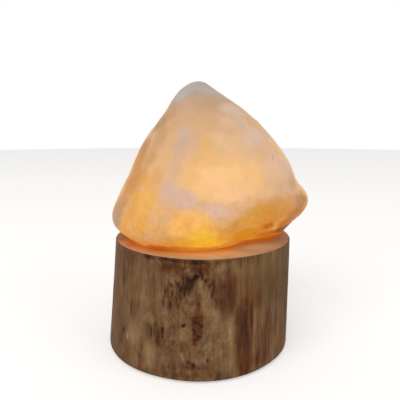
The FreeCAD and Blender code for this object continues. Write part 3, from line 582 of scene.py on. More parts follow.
    def warped(self, tree: Tree, place: Any) -> Any:
        """Shifts the shaded point by noise, so that no cloud has an even edge.

        Args:
            tree: The node tree.
            place: The socket of the point that is shaded.

        Returns:
            The shifted point's socket.
        """
        for width_mm, reach_mm in self.warps_mm:
            waves = {"Vector": place, "Scale": per_metre(width_mm), "Detail": 3.0}
            wobble = add_node(tree, "TexNoise", None, waves, out=1)
            inputs = {0: wobble, 1: [2 * reach_mm * MM] * 3, 2: [-reach_mm * MM] * 3}
            shift = add_node(tree, "VectorMath", TIMES_PLUS, inputs)
            place = add_node(tree, "VectorMath", PLUS, {0: place, 1: shift})
        return place

    def veiled(self, tree: Tree, place: Any, z: Any) -> Any:
        """Colours the salt by its height, under broad veils.

        Args:
            tree: The node tree.
            place: The socket of the shifted point.
            z: The socket of its height.

        Returns:
            The colour's socket.
        """
        share = add_node(tree, "MapRange", None, Span(self.foot_z_mm, self.top_z_mm).of(z, MM))
        whole = self.top_z_mm - self.foot_z_mm
        stops = [((height - self.foot_z_mm) / whole, colour) for height, colour in self.heights]
        colour = add_node(tree, "ValToRGB", {"stops": stops}, {0: share})
        for shift, veil, span in self.veils:
            moved = add_node(tree, "VectorMath", PLUS, {0: place, 1: [shift] * 3})
            waves = {"Vector": moved, "Scale": per_metre(self.veil_mm), "Detail": 4.0}
            cloudiness = add_node(tree, "TexNoise", None, waves)
            mask = add_node(tree, "MapRange", EASED, span.of(cloudiness))
            colour = add_node(tree, "Mix", RGBA, {0: mask, 6: colour, 7: linear(veil)}, out=2)
        return colour

    def cloudy(self, tree: Tree, place: Any) -> Any:
        """Lays the clouds over the veiled colour, and the dark line at the foot over both.

        Args:
            tree: The node tree.
            place: The socket of the shifted point.

        Returns:
            The colour's socket.
        """
        z = add_node(tree, "SeparateXYZ", None, {0: place}, out=2)
        colour = self.veiled(tree, place, z)
        waves = {"Vector": place, "Scale": per_metre(self.mottle_mm), "Detail": 5.0, "Roughness": 0.65}
        blotch = add_node(tree, "TexNoise", None, waves)
        mottle = add_node(tree, "MapRange", EASED, self.mottle.of(blotch))
        for cloud in self.clouds:
            mask = cloud.mask(tree, place)
            if cloud.mottled:
                mask = add_node(tree, "Math", TIMES, {0: mask, 1: mottle})
            colour = add_node(tree, "Mix", RGBA, {0: mask, 6: colour, 7: linear(cloud.colour)}, out=2)
        # the painted shade along the foot, with its spots of painted glow
        line = linear(self.foot_shade_line)
        for light in self.foot_lights:
            inputs = {0: light.mask(tree, place), 6: line, 7: linear(light.colour)}
            line = add_node(tree, "Mix", RGBA, inputs, out=2)
        mask = add_node(tree, "MapRange", None, self.foot_shade_line_mm.of(z, MM))
        return add_node(tree, "Mix", RGBA, {0: mask, 6: colour, 7: line}, out=2)

    def grained(self, tree: Tree, place: Any, colour: Any) -> Any:
        """Adds the salt's crystal grain and a few brown flecks of clay, both fainter higher up.

        Args:
            tree: The node tree.
            place: The socket of the point that is shaded.
            colour: The cloudy colour's socket.

        Returns:
            The colour's socket.
        """
        fine = {"Vector": place, "Scale": per_metre(self.fine_mm), "Detail": 5.0}
        broad = {"Vector": place, "Scale": per_metre(self.broad_mm), "Detail": 3.0}
        fine, broad = (add_node(tree, "TexNoise", None, waves) for waves in (fine, broad))
        z = add_node(tree, "SeparateXYZ", None, {0: place}, out=2)
        shown = add_node(tree, "MapRange", None, self.grain_by_height_mm.of(z, MM))
        fine = add_node(tree, "Math", MINUS, {0: fine, 1: 0.5})
        fine = add_node(tree, "Math", TIMES, {0: fine, 1: shown})
        brightness = sum_of(tree, self.level, [(fine, self.fine_share), (broad, self.broad_share)])
        colour = add_node(tree, "VectorMath", SCALED, {0: colour, 3: brightness})
        cells = {"Vector": place, "Scale": per_metre(self.fleck_mm), "Randomness": 1.0}
        away = add_node(tree, "TexVoronoi", None, cells)
        fleck = add_node(tree, "MapRange", None, self.fleck.of(away))
        patches = add_node(tree, "TexNoise", None, {"Vector": place, "Scale": per_metre(self.dirt_mm)})
        dirty = add_node(tree, "MapRange", None, self.dirt.of(patches))
        dirty = add_node(tree, "Math", TIMES, {0: dirty, 1: shown})
        mask = add_node(tree, "Math", TIMES, {0: fleck, 1: dirty})
        return add_node(tree, "Mix", RGBA, {0: mask, 6: colour, 7: linear(self.fleck_colour)}, out=2)

    def finish(self) -> Material:
        """Makes the material: part of each colour is light that comes through, the rest reflects.

        Returns:
            The material.
        """
        material, tree = new_material(self.name)
        place = add_node(tree, "TexCoord", out=3)
        colour = self.grained(tree, place, self.cloudy(tree, self.warped(tree, place)))
        back = [-c * MM for c in self.bulb_centre_mm]
        from_bulb = add_node(tree, "VectorMath", PLUS, {0: place, 1: back})
        away = add_node(tree, "VectorMath", LENGTH, {0: from_bulb}, out=1)
        reflected = add_node(tree, "MapRange", None, self.reflected_mm.of(away, MM))
        through = add_node(tree, "Math", MINUS, {0: 1.0, 1: reflected})
        body, glow = (
            add_node(tree, "VectorMath", SCALED, {0: colour, 3: share})
            for share in (reflected, through)
        )
        grain = {"Vector": place, "Scale": per_metre(self.skin_mm), "Detail": 3.0, "Roughness": 0.6}
        height = add_node(tree, "TexNoise", None, grain)
        depth = {"Strength": 0.5, "Distance": self.skin_depth_mm * MM, "Height": height}
        waves = {"Vector": place, "Scale": per_metre(self.polish_mm), "Detail": 4.0}
        polish = add_node(tree, "TexNoise", None, waves)
        finish_surface(tree, {
            "Base Color": body,
            "Roughness": add_node(tree, "MapRange", None, self.roughness.of(polish)),
            "IOR": self.ior,
            "Normal": add_node(tree, "Bump", None, depth),
            "Specular IOR Level": 0.12,
            "Subsurface Weight": 0.35,
            "Subsurface Radius": (1.0, 0.55, 0.3),
            "Subsurface Scale": self.glow_depth_mm * MM,
            "Emission Color": glow,
            "Emission Strength": 1.0,
        })
        return material


@dataclass
class SaltCrystal:
    """The lump of rock salt: the CAD form, worn, dented and pitted as salt is."""

    name: str = "salt_lump"
    node: str = "salt_crystal"
    voxel_mm: float = 1.15
    foot_z_mm: float = 81.5
    chamber_top_mm: float = 137.0
    inner_radius_mm: float = 38.8
    foot_fade_mm: float = 2.5
    wear_mm: float = 0.3
    least_wear_mm: float = 0.02
    # broad dents, small ones and fine ones
    dents: tuple[Relief, ...] = (
        Relief(0.5, (21.0, 21.0, 24.0), 3.1, 2),
        Relief(0.16, (6.5, 6.5, 7.5), 11.7, 2),
        Relief(0.07, (2.6, 2.6, 2.6), 23.4),
    )
    # where the pits are, how deep they go, and which areas have them
    pit_mm: float = 0.45
    pits: Relief = Relief(1.0, (3.6, 3.6, 3.2), 41.9)
    pit: Span = Span(0.42, 0.67)
    areas: Relief = Relief(1.0, (30.0, 30.0, 30.0), 55.2)
    pitted: Span = Span(-0.35, 0.65)
    salt: RockSalt = RockSalt()

    def outer_share(self, points_mm: np.ndarray) -> np.ndarray:
        """How much of the wear each point takes: none in the chamber and on the flat foot.

        Args:
            points_mm: The points, as rows of three.

        Returns:
            A share from 0 to 1 for each point.
        """
        from_axis = np.hypot(points_mm[:, 0], points_mm[:, 1])
        outside = (from_axis > self.inner_radius_mm) | (points_mm[:, 2] > self.chamber_top_mm)
        fade = Span(self.foot_z_mm, self.foot_z_mm + self.foot_fade_mm)
        return outside * fade.eased(points_mm[:, 2])

    def wear(self, points_mm: np.ndarray) -> np.ndarray:
        """How far in the surface is worn: dents, and pits in some areas.

        Args:
            points_mm: The points, as rows of three.

        Returns:
            The depth in millimetres for each point.
        """
        worn = np.full(len(points_mm), self.wear_mm)
        for dent in self.dents:
            worn += dent.at(points_mm)
        pits = self.pit.eased(self.pits.at(points_mm)) * self.pitted.eased(self.areas.at(points_mm))
        return np.maximum(worn + self.pit_mm * pits, self.least_wear_mm)

    def build(self) -> list[Piece]:
        """Builds the lump, dresses it and lets it stand for its CAD node.

        Returns:
            The piece.
        """
        lump = copy_of_node(self.node, self.name)
        remesh = {"mode": "VOXEL", "voxel_size": self.voxel_mm * MM, "use_smooth_shade": True}
        apply_modifier(lump, "REMESH", remesh)
        points, normals = points_of(lump), points_of(lump, "normal")
        inward = self.wear(points / MM) * self.outer_share(points / MM)
        move_points(lump, points - normals * (inward * MM)[:, None])
        lump.data.materials.append(self.salt.finish())
        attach(lump, "base")
        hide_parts(self.node)
        return [lump]


# ---------------------------------------------------------------- the log


KNOT_RELIEF_MM = 0.4
KNOT_TONE = -0.5
# how far from a knot its push on the fibres reaches, in half sizes, and how strong it is
PUSH_WIDTHS = 2.2
PUSH_HEIGHTS = 1.6
PUSH_SHARE = 0.8


@dataclass(frozen=True)
class Mark:
    """A knot, stain, crack or pale patch on the log's side.

    bearing is in degrees from the front towards the right, and height_mm is above the table.
    tone makes the wood paler or darker, hue redder (up to 1) or more olive (down to -1), relief_mm
    raises or sinks it, lean is how far it shifts to the right for each millimetre up, core is how
    far out its full strength reaches, flecks is how many dark bark flecks it has, and calm is how
    much it evens out the grain.
    """

    bearing: float
    height_mm: float
    half_width_mm: float
    half_height_mm: float
    tone: float
    hue: float = 0.0
    relief_mm: float = 0.0
    lean: float = 0.0
    core: float = 0.2
    flecks: float = 0.0
    calm: float = 0.0

    @property
    def is_knot(self) -> bool:
        """Whether the mark is raised or dark enough to be a knot, which fibres flow round."""
        return self.relief_mm > KNOT_RELIEF_MM or self.tone < KNOT_TONE

    def push_at(self, along: np.ndarray, rise: np.ndarray) -> np.ndarray:
        """How far a knot pushes the fibres aside.

        Args:
            along: How far right of the knot each point is, in millimetres.
            rise: How far above the knot each point is, in millimetres.

        Returns:
            The push to the right at each point, in millimetres.
        """
        width, height = self.half_width_mm, self.half_height_mm
        near = np.exp(-((along / (PUSH_WIDTHS * width)) ** 2) - (rise / (PUSH_HEIGHTS * height)) ** 2)
        return PUSH_SHARE * width * near * np.tanh(along / width)


class Grain(Enum):
    """Which way a face cuts the wood: how much of a pattern's change along Z shows in it."""

    ACROSS = 0.0
    ALONG = 0.05


@dataclass(frozen=True)
class DebarkedWood(Finish):
    """Weathered wood just under the bark, peeled and left unvarnished.

    The eye sees grey-brown streaks along the fibres, dark knots, and the inner bark's reddish
    brown where shreds of it are left.
    """

    # each layer's width, how much it is drawn out along the fibres, and its detail
    layers: tuple[tuple[str, float, float, float], ...] = (
        ("broad", 4.6, 0.07, 4.0),
        ("fine", 1.2, 0.05, 4.0),
        ("hair", 0.55, 0.03, 2.0),
        ("patch", 13.0, 0.45, 3.0),
        ("mottle", 3.4, 0.42, 5.0),
        ("speck", 1.1, 0.55, 3.0),
        ("fleck", 1.9, 0.4, 2.0),
    )
    # how strongly each layer shows where the fibres are combed, and where they are matted
    streaks: Terms = (("broad", 0.6), ("fine", 0.6), ("hair", 0.4))
    spots: Terms = (("mottle", 0.95), ("speck", 0.65))
    level: float = 0.29
    patch_share: float = 0.5
    # a painted stain breaks up where the wood is pale, and gathers where it is dark
    stain_level: float = 0.6
    stain_speck: float = 0.8
    stain_gather: float = -1.6
    fleck: Span = Span(0.53, 0.66, high=-0.4)
    grooves: Terms = (("fine", 0.6), ("hair", 0.4))
    relief_mm: float = 0.5
    roughness: Span = Span(0.0, 1.0, 0.62, 0.82)
    plain: Stops = (
        (0.0, "#1E1008"),
        (0.2, "#412314"),
        (0.42, "#624229"),
        (0.6, "#7A593B"),
        (0.8, "#92734F"),
        (1.0, "#AE9268"),
    )
    red: Stops = (
        (0.0, "#1F0C05"),
        (0.25, "#48230E"),
        (0.5, "#6C3D18"),
        (0.75, "#87562C"),
        (1.0, "#A67746"),
    )
    olive: Stops = (
        (0.0, "#211707"),
        (0.25, "#432F14"),
        (0.5, "#644C26"),
        (0.75, "#81683C"),
        (1.0, "#A08658"),
    )

    def finish(self) -> Material:
        """Makes the material from streaks that follow the fibres round the knots.

        Returns:
            The material.
        """
        material, tree = new_material(self.name)
        place = add_node(tree, "TexCoord", out=3)
        flow = add_node(tree, "Attribute", {"attribute_name": "fibre_flow"}, out=1)
        moved = add_node(tree, "VectorMath", PLUS, {0: place, 1: flow})
        layer = {}
        for name, width_mm, stretch, detail in self.layers:
            scaled = add_node(tree, "VectorMath", TIMES, {0: moved, 1: [1.0, 1.0, stretch]})
            waves = {"Vector": scaled, "Scale": per_metre(width_mm), "Detail": detail, "Roughness": 0.6}
            layer[name] = add_node(tree, "TexNoise", None, waves)
        painted = {
            name: add_node(tree, "Attribute", {"attribute_name": name}, out=2)
            for name in ("tone", "hue", "flecks", "contrast", "combed")
        }
        # noise is 0.5 on average, so each sum starts at minus half of its shares
        spots, streaks = (
            sum_of(tree, -sum(share for _, share in terms) / 2, [(layer[n], w) for n, w in terms])
            for terms in (self.spots, self.streaks)
        )
        inputs = {0: painted["combed"], 2: spots, 3: streaks}
        mixed = add_node(tree, "Mix", {"data_type": "FLOAT"}, inputs)
        mixed = add_node(tree, "Math", TIMES, {0: mixed, 1: painted["contrast"]})
        uneven = [(layer["speck"], self.stain_speck), (mixed, self.stain_gather)]
        broken = sum_of(tree, self.stain_level, uneven)
        stain = add_node(tree, "Math", TIMES, {0: painted["tone"], 1: broken})
        fleck = add_node(tree, "MapRange", EASED, self.fleck.of(layer["fleck"]))
        flecks = add_node(tree, "Math", TIMES, {0: fleck, 1: painted["flecks"]})
        terms = [(mixed, 1.0), (layer["patch"], self.patch_share), (stain, 1.0), (flecks, 1.0)]
        tone = sum_of(tree, self.level, terms)
        colour = add_node(tree, "ValToRGB", {"stops": self.plain}, {0: tone})
        for stops, sign in ((self.red, 1.0), (self.olive, -1.0)):
            other = add_node(tree, "ValToRGB", {"stops": stops}, {0: tone})
            mask = add_node(tree, "Math", {**TIMES, "use_clamp": True}, {0: painted["hue"], 1: sign})
            colour = add_node(tree, "Mix", RGBA, {0: mask, 6: colour, 7: other}, out=2)
        height = sum_of(tree, 0.0, [(layer[n], w) for n, w in self.grooves])
        depth = {"Strength": 0.7, "Distance": self.relief_mm * MM, "Height": height}
        finish_surface(tree, {
            "Base Color": colour,
            "Roughness": add_node(tree, "MapRange", None, self.roughness.of(tone)),
            "Specular IOR Level": 0.15,
            "Normal": add_node(tree, "Bump", None, depth),
        })
        return material


@dataclass(frozen=True)
class CutWood(Finish):
    """Bare wood where the log was sawn, sanded or drilled: growth rings, pores and tool marks.

    Its spots of lamplight are painted: pools of the lamp's light where it soaks into the wood round the
    crystal's foot, and one spot of painted shade at the ring's left end.
    """

    grain: Grain
    pale: str
    dark: str
    rim: str
    roughness: float
    pith_mm: Triple = (-3.1, 0.0, 0.0)
    ring_mm: float = 2.4
    pore_mm: float = 0.9
    mottle_mm: float = 12.0
    saw_mm: float = 0.0
    # the shares of the rings, the pores, the mottle and the saw marks in the colour or the height
    ring_tone: float = 0.6
    pore_tone: float = 0.5
    mottle_tone: float = 0.8
    ring_height: float = 0.3
    pore_height: float = 0.7
    saw_height: float = 0.8
    # how much the wood darkens towards +X, a painted shade, and with inner bark towards the rim
    painted_shade: str = "#A67C58"
    painted_shade_mm: Span = Span(5.0, 60.0, high=0.6)
    rim_mm: Span = Span(62.5, 65.6, high=0.75)
    relief_mm: float = 0.2
    lamplight_and_shade: tuple[Cloud, ...] = ()
    glow: float = 0.16

    def per_wave(self, size_mm: float) -> float:
        """The scale of a wave pattern on metres, which has a wave for each 2 pi / 20 units."""
        return 2 * math.pi / 20 * per_metre(size_mm)

    def finish(self) -> Material:
        """Makes the material, with rings about the pith and a darker rim of inner bark.

        Returns:
            The material.
        """
        material, tree = new_material(self.name)
        place = add_node(tree, "TexCoord", out=3)
        back = [-c * MM for c in self.pith_mm]
        centred = add_node(tree, "VectorMath", PLUS, {0: place, 1: back})
        flat = add_node(tree, "VectorMath", TIMES, {0: centred, 1: [1.0, 1.0, self.grain.value]})
        rings = {
            "Vector": flat,
            "Scale": self.per_wave(self.ring_mm),
            "Distortion": 5.0,
            "Detail": 3.0,
            "Detail Scale": 0.35,
        }
        settings = {"wave_type": "RINGS", "rings_direction": "Z", "wave_profile": "SAW"}
        ring = add_node(tree, "TexWave", settings, rings)
        pores = {"Vector": flat, "Scale": per_metre(self.pore_mm), "Detail": 3.0}
        mottle = {"Vector": flat, "Scale": per_metre(self.mottle_mm), "Detail": 4.0}
        pores, mottle = (add_node(tree, "TexNoise", None, waves) for waves in (pores, mottle))
        tones = [(ring, self.ring_tone), (pores, self.pore_tone), (mottle, self.mottle_tone)]
        mixed = sum_of(tree, -0.5, tones)
        inputs = {0: mixed, 6: linear(self.pale), 7: linear(self.dark)}
        colour = add_node(tree, "Mix", RGBA, inputs, out=2)
        x = add_node(tree, "SeparateXYZ", None, {0: place}, out=0)
        away = add_node(tree, "VectorMath", LENGTH, {0: flat}, out=1)
        # painted shade towards +X, then the inner bark's darker rim
        for value, span, tint in ((x, self.painted_shade_mm, self.painted_shade), (away, self.rim_mm, self.rim)):
            mask = add_node(tree, "MapRange", EASED, span.of(value, MM))
            colour = add_node(tree, "Mix", RGBA, {0: mask, 6: colour, 7: linear(tint)}, out=2)
        height = sum_of(tree, 0.0, [(ring, self.ring_height), (pores, self.pore_height)])
        if self.saw_mm:
            bands = {"Vector": place, "Scale": self.per_wave(self.saw_mm), "Distortion": 1.0}
            saw = add_node(tree, "TexWave", {"wave_type": "BANDS"}, bands)
            height = sum_of(tree, height, [(saw, self.saw_height)])
        depth = {"Strength": 0.4, "Distance": self.relief_mm * MM, "Height": height}
        inputs = {
            "Roughness": self.roughness,
            "Specular IOR Level": 0.2,
            "Normal": add_node(tree, "Bump", None, depth),
        }
        lit = 0.0
        # the painted pools of lamplight and the painted shade spot; the emission follows their masks
        for cloud in self.lamplight_and_shade:
            spot = cloud.mask(tree, place)
            colour = add_node(tree, "Mix", RGBA, {0: spot, 6: colour, 7: linear(cloud.colour)}, out=2)
            lit = add_node(tree, "Math", LARGER, {0: lit, 1: spot})
        if self.lamplight_and_shade:
            light = add_node(tree, "VectorMath", SCALED, {0: colour, 3: lit})
            inputs |= {"Emission Color": light, "Emission Strength": self.glow}
        finish_surface(tree, {"Base Color": colour, **inputs})
        return material


class LogFace(Enum):
    """The kinds of face on the log, numbered as their finishes are."""

    SIDE = 0
    TOP = 1
    UNDERSIDE = 2
    HOLES = 3


@dataclass
class LogBase:
    """The short debarked log, with its fibres, knots and drying cracks."""

    name: str = "debarked_log"
    node: str = "log_base"
    sides: int = 460
    rows: int = 104
    middle_x_mm: float = -5.0
    side_radius_mm: float = 67.0
    top_z_mm: float = 81.5
    foot_z_mm: float = 1.5
    overrun_mm: float = 1.0
    # the CAD side is read from this far out, in metres, and this far from its rims
    far: float = 0.1
    rim_mm: float = 1.2
    # how far in the skin lies, and the swells, ridges and hairs that stand out from it
    peel_mm: float = 0.4
    least_peel_mm: float = 0.03
    fibres: tuple[Relief, ...] = (
        Relief(0.3, (22.0, 22.0, 60.0), 1.7, 2),
        Relief(0.17, (2.3, 2.3, 30.0), 31.0, 2),
        Relief(0.08, (1.1, 1.1, 14.0), 47.0),
    )
    # how far the marks' edges wander sideways and up, and the half width that takes it all
    full_wander_mm: float = 3.0
    wander: tuple[Relief, Relief] = (
        Relief(1.0, (5.0, 5.0, 9.0), 7.3, 2),
        Relief(1.8, (4.0, 4.0, 8.0), 19.3, 2),
    )
    # the most that marks even out the grain
    most_calm: float = 0.7
    # how far the fibres are combed into streaks by bearing: on the right, on the left and behind
    least_combed: float = 0.15
    flank_end: Span = Span(150.0, 120.0)
    combed_right: Span = Span(10.0, 20.0)
    combed_left: Span = Span(16.0, 30.0, high=0.6)
    combed_behind: Span = Span(120.0, 150.0, high=0.7)
    # a face is level where its normal is this upright, and an end face within this of the end
    upright: float = 0.9
    end_slack_mm: float = 0.3
    smooth_below: float = 38.0
    # the holes lie inside this radius, and the cord's groove is as wide and as high as this
    side_from_mm: float = 59.0
    groove_half_mm: float = 6.0
    groove_top_mm: float = 12.0
    finishes: tuple[Finish, ...] = (
        DebarkedWood("debarked_log_wood"),
        CutWood(
            "sanded_end_grain",
            Grain.ACROSS,
            "#E6C29C",
            "#9E744E",
            "#A2765A",
            0.6,
            lamplight_and_shade=(
                Cloud((-15, -2, 81.5), (53, 56, 40), "#CC7820", 0.9, 0.87),
                Cloud((13, 1, 81.5), (44, 36, 40), "#D07C26", 0.8, 0.85),
                Cloud((-2, -50, 81.5), (38, 12, 10), "#DCA462", 0.7, 0.3),
                Cloud((34, -35, 81.5), (22, 14, 10), "#DEBA92", 0.5, 0.0),
                # painted shade at the left end of the ring
                Cloud((-65, -8, 81.5), (14, 20, 10), "#8E5630", 0.85, 0.3),
                Cloud((-46, -37, 81.5), (12, 11, 10), "#D69A58", 0.35, 0.2),
            ),
        ),
        CutWood("sawn_end_grain", Grain.ACROSS, "#B8946C", "#8A6240", "#5C3C26", 0.8, saw_mm=1.6),
        CutWood("drilled_wood", Grain.ALONG, "#B48C62", "#82593A", "#82593A", 0.8),
    )
    marks: tuple[Mark, ...] = (
        # inner bark left under the top rim, and a grey patch in it
        Mark(-18, 75, 15, 7, -0.10, 0.5),
        Mark(-19, 76, 6, 3.5, -0.04, 0.5),
        Mark(-31, 80.3, 7, 2.6, -0.40, 0.4, core=0.4),
        Mark(-18, 80.6, 10, 2.4, -0.36, 0.5, core=0.5),
        Mark(-4, 80.6, 11, 2.4, -0.30, 0.5, core=0.5),
        Mark(-10, 77, 9, 5, -0.17, 0.5),
        Mark(1, 77, 12, 6, -0.15, 0.5),
        Mark(0, 75, 7, 4, -0.12, 0.5),
        Mark(14, 80.5, 10, 2, -0.18, 0.5),
        Mark(10.5, 75.5, 6.5, 4.5, 0.14),
        Mark(15.6, 73, 1.2, 4, -0.16, 0.2, lean=0.3),
        Mark(20, 76, 5, 5, 0.05),
        Mark(-48, 77, 14, 8, -0.11, 0.4),
        # the black knot, and the smear that runs down from it to the left
        Mark(-2.4, 70.6, 2.5, 2.0, -0.75, 0.1, -0.9, core=0.4),
        Mark(-4.2, 68.2, 3.0, 2.6, -0.30, 0.1, -0.5, 0.6),
        Mark(-6.2, 65.5, 5.4, 6.0, -0.15, 0.15, -0.2, 0.5, flecks=0.9),
        Mark(-9, 62, 9, 9, -0.15, 0.2, -0.1, 0.4, flecks=1.0),
        Mark(-9.4, 67.5, 0.9, 4.0, -0.26, 0.2, -0.2),
        Mark(-7.4, 68.5, 0.9, 3.4, -0.26, 0.2, -0.2),
        Mark(-8.3, 62.5, 1.0, 4.2, -0.18, 0.2, -0.2),
        Mark(-8, 70, 6, 4, -0.14, 0.3, flecks=0.7),
        Mark(-12.3, 67, 3, 3, -0.25, 0.3, flecks=0.8),
        Mark(-15, 57, 11, 9, -0.05, 0.2, flecks=0.9),
        Mark(-11.1, 55.5, 1.1, 2.6, -0.32, 0.2, -0.2),
        Mark(-12.2, 51.4, 1.0, 2.8, -0.25, 0.2, -0.2),
        Mark(-16.9, 51.8, 1.0, 3.6, -0.30, 0.2, -0.3),
        Mark(-21.1, 52.2, 1.1, 3.6, -0.28, 0.3, -0.3),
        Mark(-19.3, 60.8, 1.4, 3.6, -0.24, 0.3, -0.2),
        Mark(-16.3, 64, 1.5, 2.2, -0.28, 0.2, -0.2),
        Mark(-7.8, 54.5, 1.0, 2.4, -0.25, 0.2, -0.2),
        Mark(-9.8, 49.5, 0.8, 2.2, -0.22, 0.2),
        Mark(-6, 60, 1.2, 2.6, -0.26, 0.2, -0.2),
        Mark(-11, 61.5, 1.2, 2.6, -0.30, 0.2, -0.2),
        # the pale wedge right of it, and its dark edges
        Mark(1.2, 71, 1.2, 3.6, -0.42, 0.3, -0.3),
        Mark(2.8, 68, 1.2, 3, -0.30, 0.2),
        Mark(4.8, 64, 1.2, 3.4, -0.30, 0.2, -0.2, 0.2),
        Mark(6.7, 60, 1.2, 4, -0.28, 0.2, -0.2, 0.1),
        Mark(8.4, 52.7, 1.2, 5, -0.20, 0.2),
        Mark(0.4, 65, 2.2, 7, 0.18, relief_mm=0.2),
        Mark(3.0, 57, 5.0, 11, 0.20, relief_mm=0.2),
        Mark(6.5, 42, 7.5, 15, 0.20, relief_mm=0.15),
        Mark(14.0, 34, 7.0, 15, 0.13),
        Mark(9, 25, 9, 12, 0.05),
        # the dark zone beyond the wedge
        Mark(14.5, 57, 11, 14, -0.15, 0.3, -0.1, core=0.4, flecks=0.2, calm=0.5),
        Mark(9.0, 65, 6, 7, -0.08, 0.3),
        Mark(7.4, 64, 1.6, 5, -0.16, 0.3, lean=-0.25),
        Mark(17, 64, 7, 11, -0.08, 0.4),
        Mark(19.7, 68, 3, 6, -0.06, 0.4),
        Mark(17.5, 50, 4, 8, -0.07, 0.3),
        # the long orange brown knot, low in the middle, and the dot beside it
        Mark(-1.4, 40, 5.0, 14, -0.14, 0.8, 0.5, core=0.4, flecks=1.0),
        Mark(-1.6, 42, 3.6, 7, -0.20, 0.2, -0.2, core=0.3, flecks=0.6),
        Mark(-3.6, 38, 1.0, 8, -0.28, 0.3, -0.2),
        Mark(0.8, 42, 1.0, 7, -0.18, 0.3, -0.2),
        Mark(-0.6, 51, 2.4, 6, -0.12, 0.6),
        Mark(-3.2, 30, 4, 8, -0.12, 0.8, 0.1, flecks=0.8),
        Mark(-9.4, 38.7, 2.1, 1.8, -0.50, 0.5, -0.5, core=0.35),
        Mark(-7, 36.5, 5, 2.5, 0.08, -0.2),
        Mark(-5.6, 49, 4.5, 6, 0.12),
        Mark(-9.5, 30, 5.5, 6, 0.16, -0.1),
        # the grey knot to the left, and its tail
        Mark(-24.8, 34, 3.6, 7.5, -0.20, -0.4, 0.5, core=0.5),
        Mark(-28.7, 31, 1.4, 5.0, -0.30, 0.0, -0.3),
        Mark(-21.4, 31.5, 1.4, 5.0, -0.42, -0.2, -0.3),
        Mark(-23.9, 26, 2.2, 6.5, -0.30, 0.5, 0.1),
        # the reddish band right of the middle, and the pale threads beyond it
        Mark(25.4, 28, 8.0, 29, -0.15, 0.4, -0.25, core=0.68),
        Mark(24.4, 30, 6.6, 20, -0.11, 0.2, core=0.3),
        Mark(34.5, 24, 3.0, 20, -0.16, 0.4),
        Mark(42, 26, 6.0, 22, -0.08, 0.3),
        Mark(26, 6, 9.0, 14, -0.05, 0.5, -0.1, core=0.3),
        Mark(30.1, 42, 1.0, 12, -0.22, 0.3, -0.2),
        Mark(32.2, 38, 0.55, 10, 0.28, relief_mm=0.25),
        Mark(31.6, 18, 0.55, 18, 0.30, relief_mm=0.25),
        Mark(33.6, 22, 0.45, 13, 0.26, relief_mm=0.2),
        Mark(48, 35, 0.7, 9, 0.34, relief_mm=0.25),
        Mark(26, 58, 8, 9, 0.02, 0.7),
        Mark(34, 50, 10, 10, -0.06, 0.6),
        Mark(47, 30, 11, 18, -0.08, 0.4),
        Mark(38, 10, 12, 8, -0.12, 0.6),
        Mark(58, 10, 10, 8, 0.0, 0.5),
        # the even olive brown side on the right
        Mark(26, 73, 11, 9, 0.16, -0.1),
        Mark(37, 67, 18, 16, 0.02, -0.35, calm=0.5),
        Mark(50, 60, 20, 22, -0.07, -0.6, calm=0.6),
        Mark(68, 62, 16, 24, -0.09, -0.9, calm=0.6),
        Mark(66, 34, 10, 30, -0.04, -0.3),
        # small marks and paler wood low down
        Mark(17.0, 27, 4.0, 20, 0.20, relief_mm=0.1),
        Mark(15.0, 11, 6.0, 8, 0.14),
        Mark(4.1, 16, 1.2, 2.6, -0.42, relief_mm=-0.4),
        Mark(12.2, 25, 1.8, 4.5, -0.26, 0.3, -0.2),
        Mark(15, 31, 3, 2.4, -0.10, 0.2, flecks=0.8),
        Mark(1.5, 22, 0.9, 3, -0.20),
        Mark(4, 6, 12, 4, -0.04, 0.5),
        Mark(-44.1, 43, 1.2, 5.5, -0.28, 0.1, -0.3),
        Mark(-51, 25, 1.5, 3.6, -0.38, 0.2, -0.3),
        Mark(-46.8, 22.5, 1.8, 3.8, 0.32, 0.1, 0.2),
        Mark(-54, 14, 6, 9, 0.0, 0.5),
        Mark(-35, 18, 0.8, 3.2, -0.26, 0.0, -0.2),
        Mark(-29.5, 14, 6.5, 15, 0.34, -0.2, 0.1),
        Mark(-42, 24, 10, 16, 0.26),
        Mark(-47, 38, 6, 10, 0.14),
        Mark(-39, 8, 7, 8, 0.14),
        Mark(-24.2, 5.8, 3, 2.5, 0.05, 0.9),
        Mark(-36.5, 9, 2.4, 8, -0.18, 0.2),
        Mark(-14.9, 27.4, 3, 2.4, -0.16, 0.7),
        Mark(-14, 20, 8, 8, 0.05, 0.1),
        Mark(-5.5, 12, 8, 4, -0.26, 0.2, -0.2, flecks=0.6),
        Mark(-10, 5, 18, 3, -0.08, 0.4),
        # the grey left side
        Mark(-30, 52, 10, 16, 0.10),
        Mark(-34, 66, 8, 9, 0.07),
        Mark(-45, 54, 8, 18, 0.06, 0.1),
        Mark(-36, 36, 6, 12, 0.07),
        Mark(-60, 45, 7, 30, -0.05, 0.25),
        # the even wood between the marks
        Mark(-30, 40, 7, 5, 0.20, core=0.4),
        Mark(4.5, 68, 4.5, 5, -0.22, 0.3),
        Mark(4.6, 25, 6, 6, 0.18, core=0.3),
        Mark(-20, 13.5, 8, 6, 0.12),
        Mark(-53, 10, 6, 7, 0.12),
        Mark(-33, 8, 10, 5, 0.09),
        Mark(0, 16, 9, 5, 0.13),
        Mark(-4.6, 59, 5, 5, 0.12),
        Mark(-39, 53, 7, 6, 0.10),
        Mark(-34, 51, 6, 5, 0.07),
        Mark(4.6, 76, 6, 4, 0.12),
        Mark(-52, 65, 8, 10, -0.12),
        Mark(-4, 25, 4, 5, 0.08, 0.3),
        # the back
        Mark(118, 52, 5, 7, -0.40, 0.7, 0.7, core=0.4, flecks=0.8),
        Mark(112, 60, 12, 10, -0.10, 0.3, flecks=0.8),
        Mark(116, 42, 3, 8, -0.25, 0.5, -0.2),
        Mark(160, 60, 14, 14, 0.12, 0.0),
        Mark(176, 32, 4, 5, -0.60, 0.2, -0.7, core=0.4),
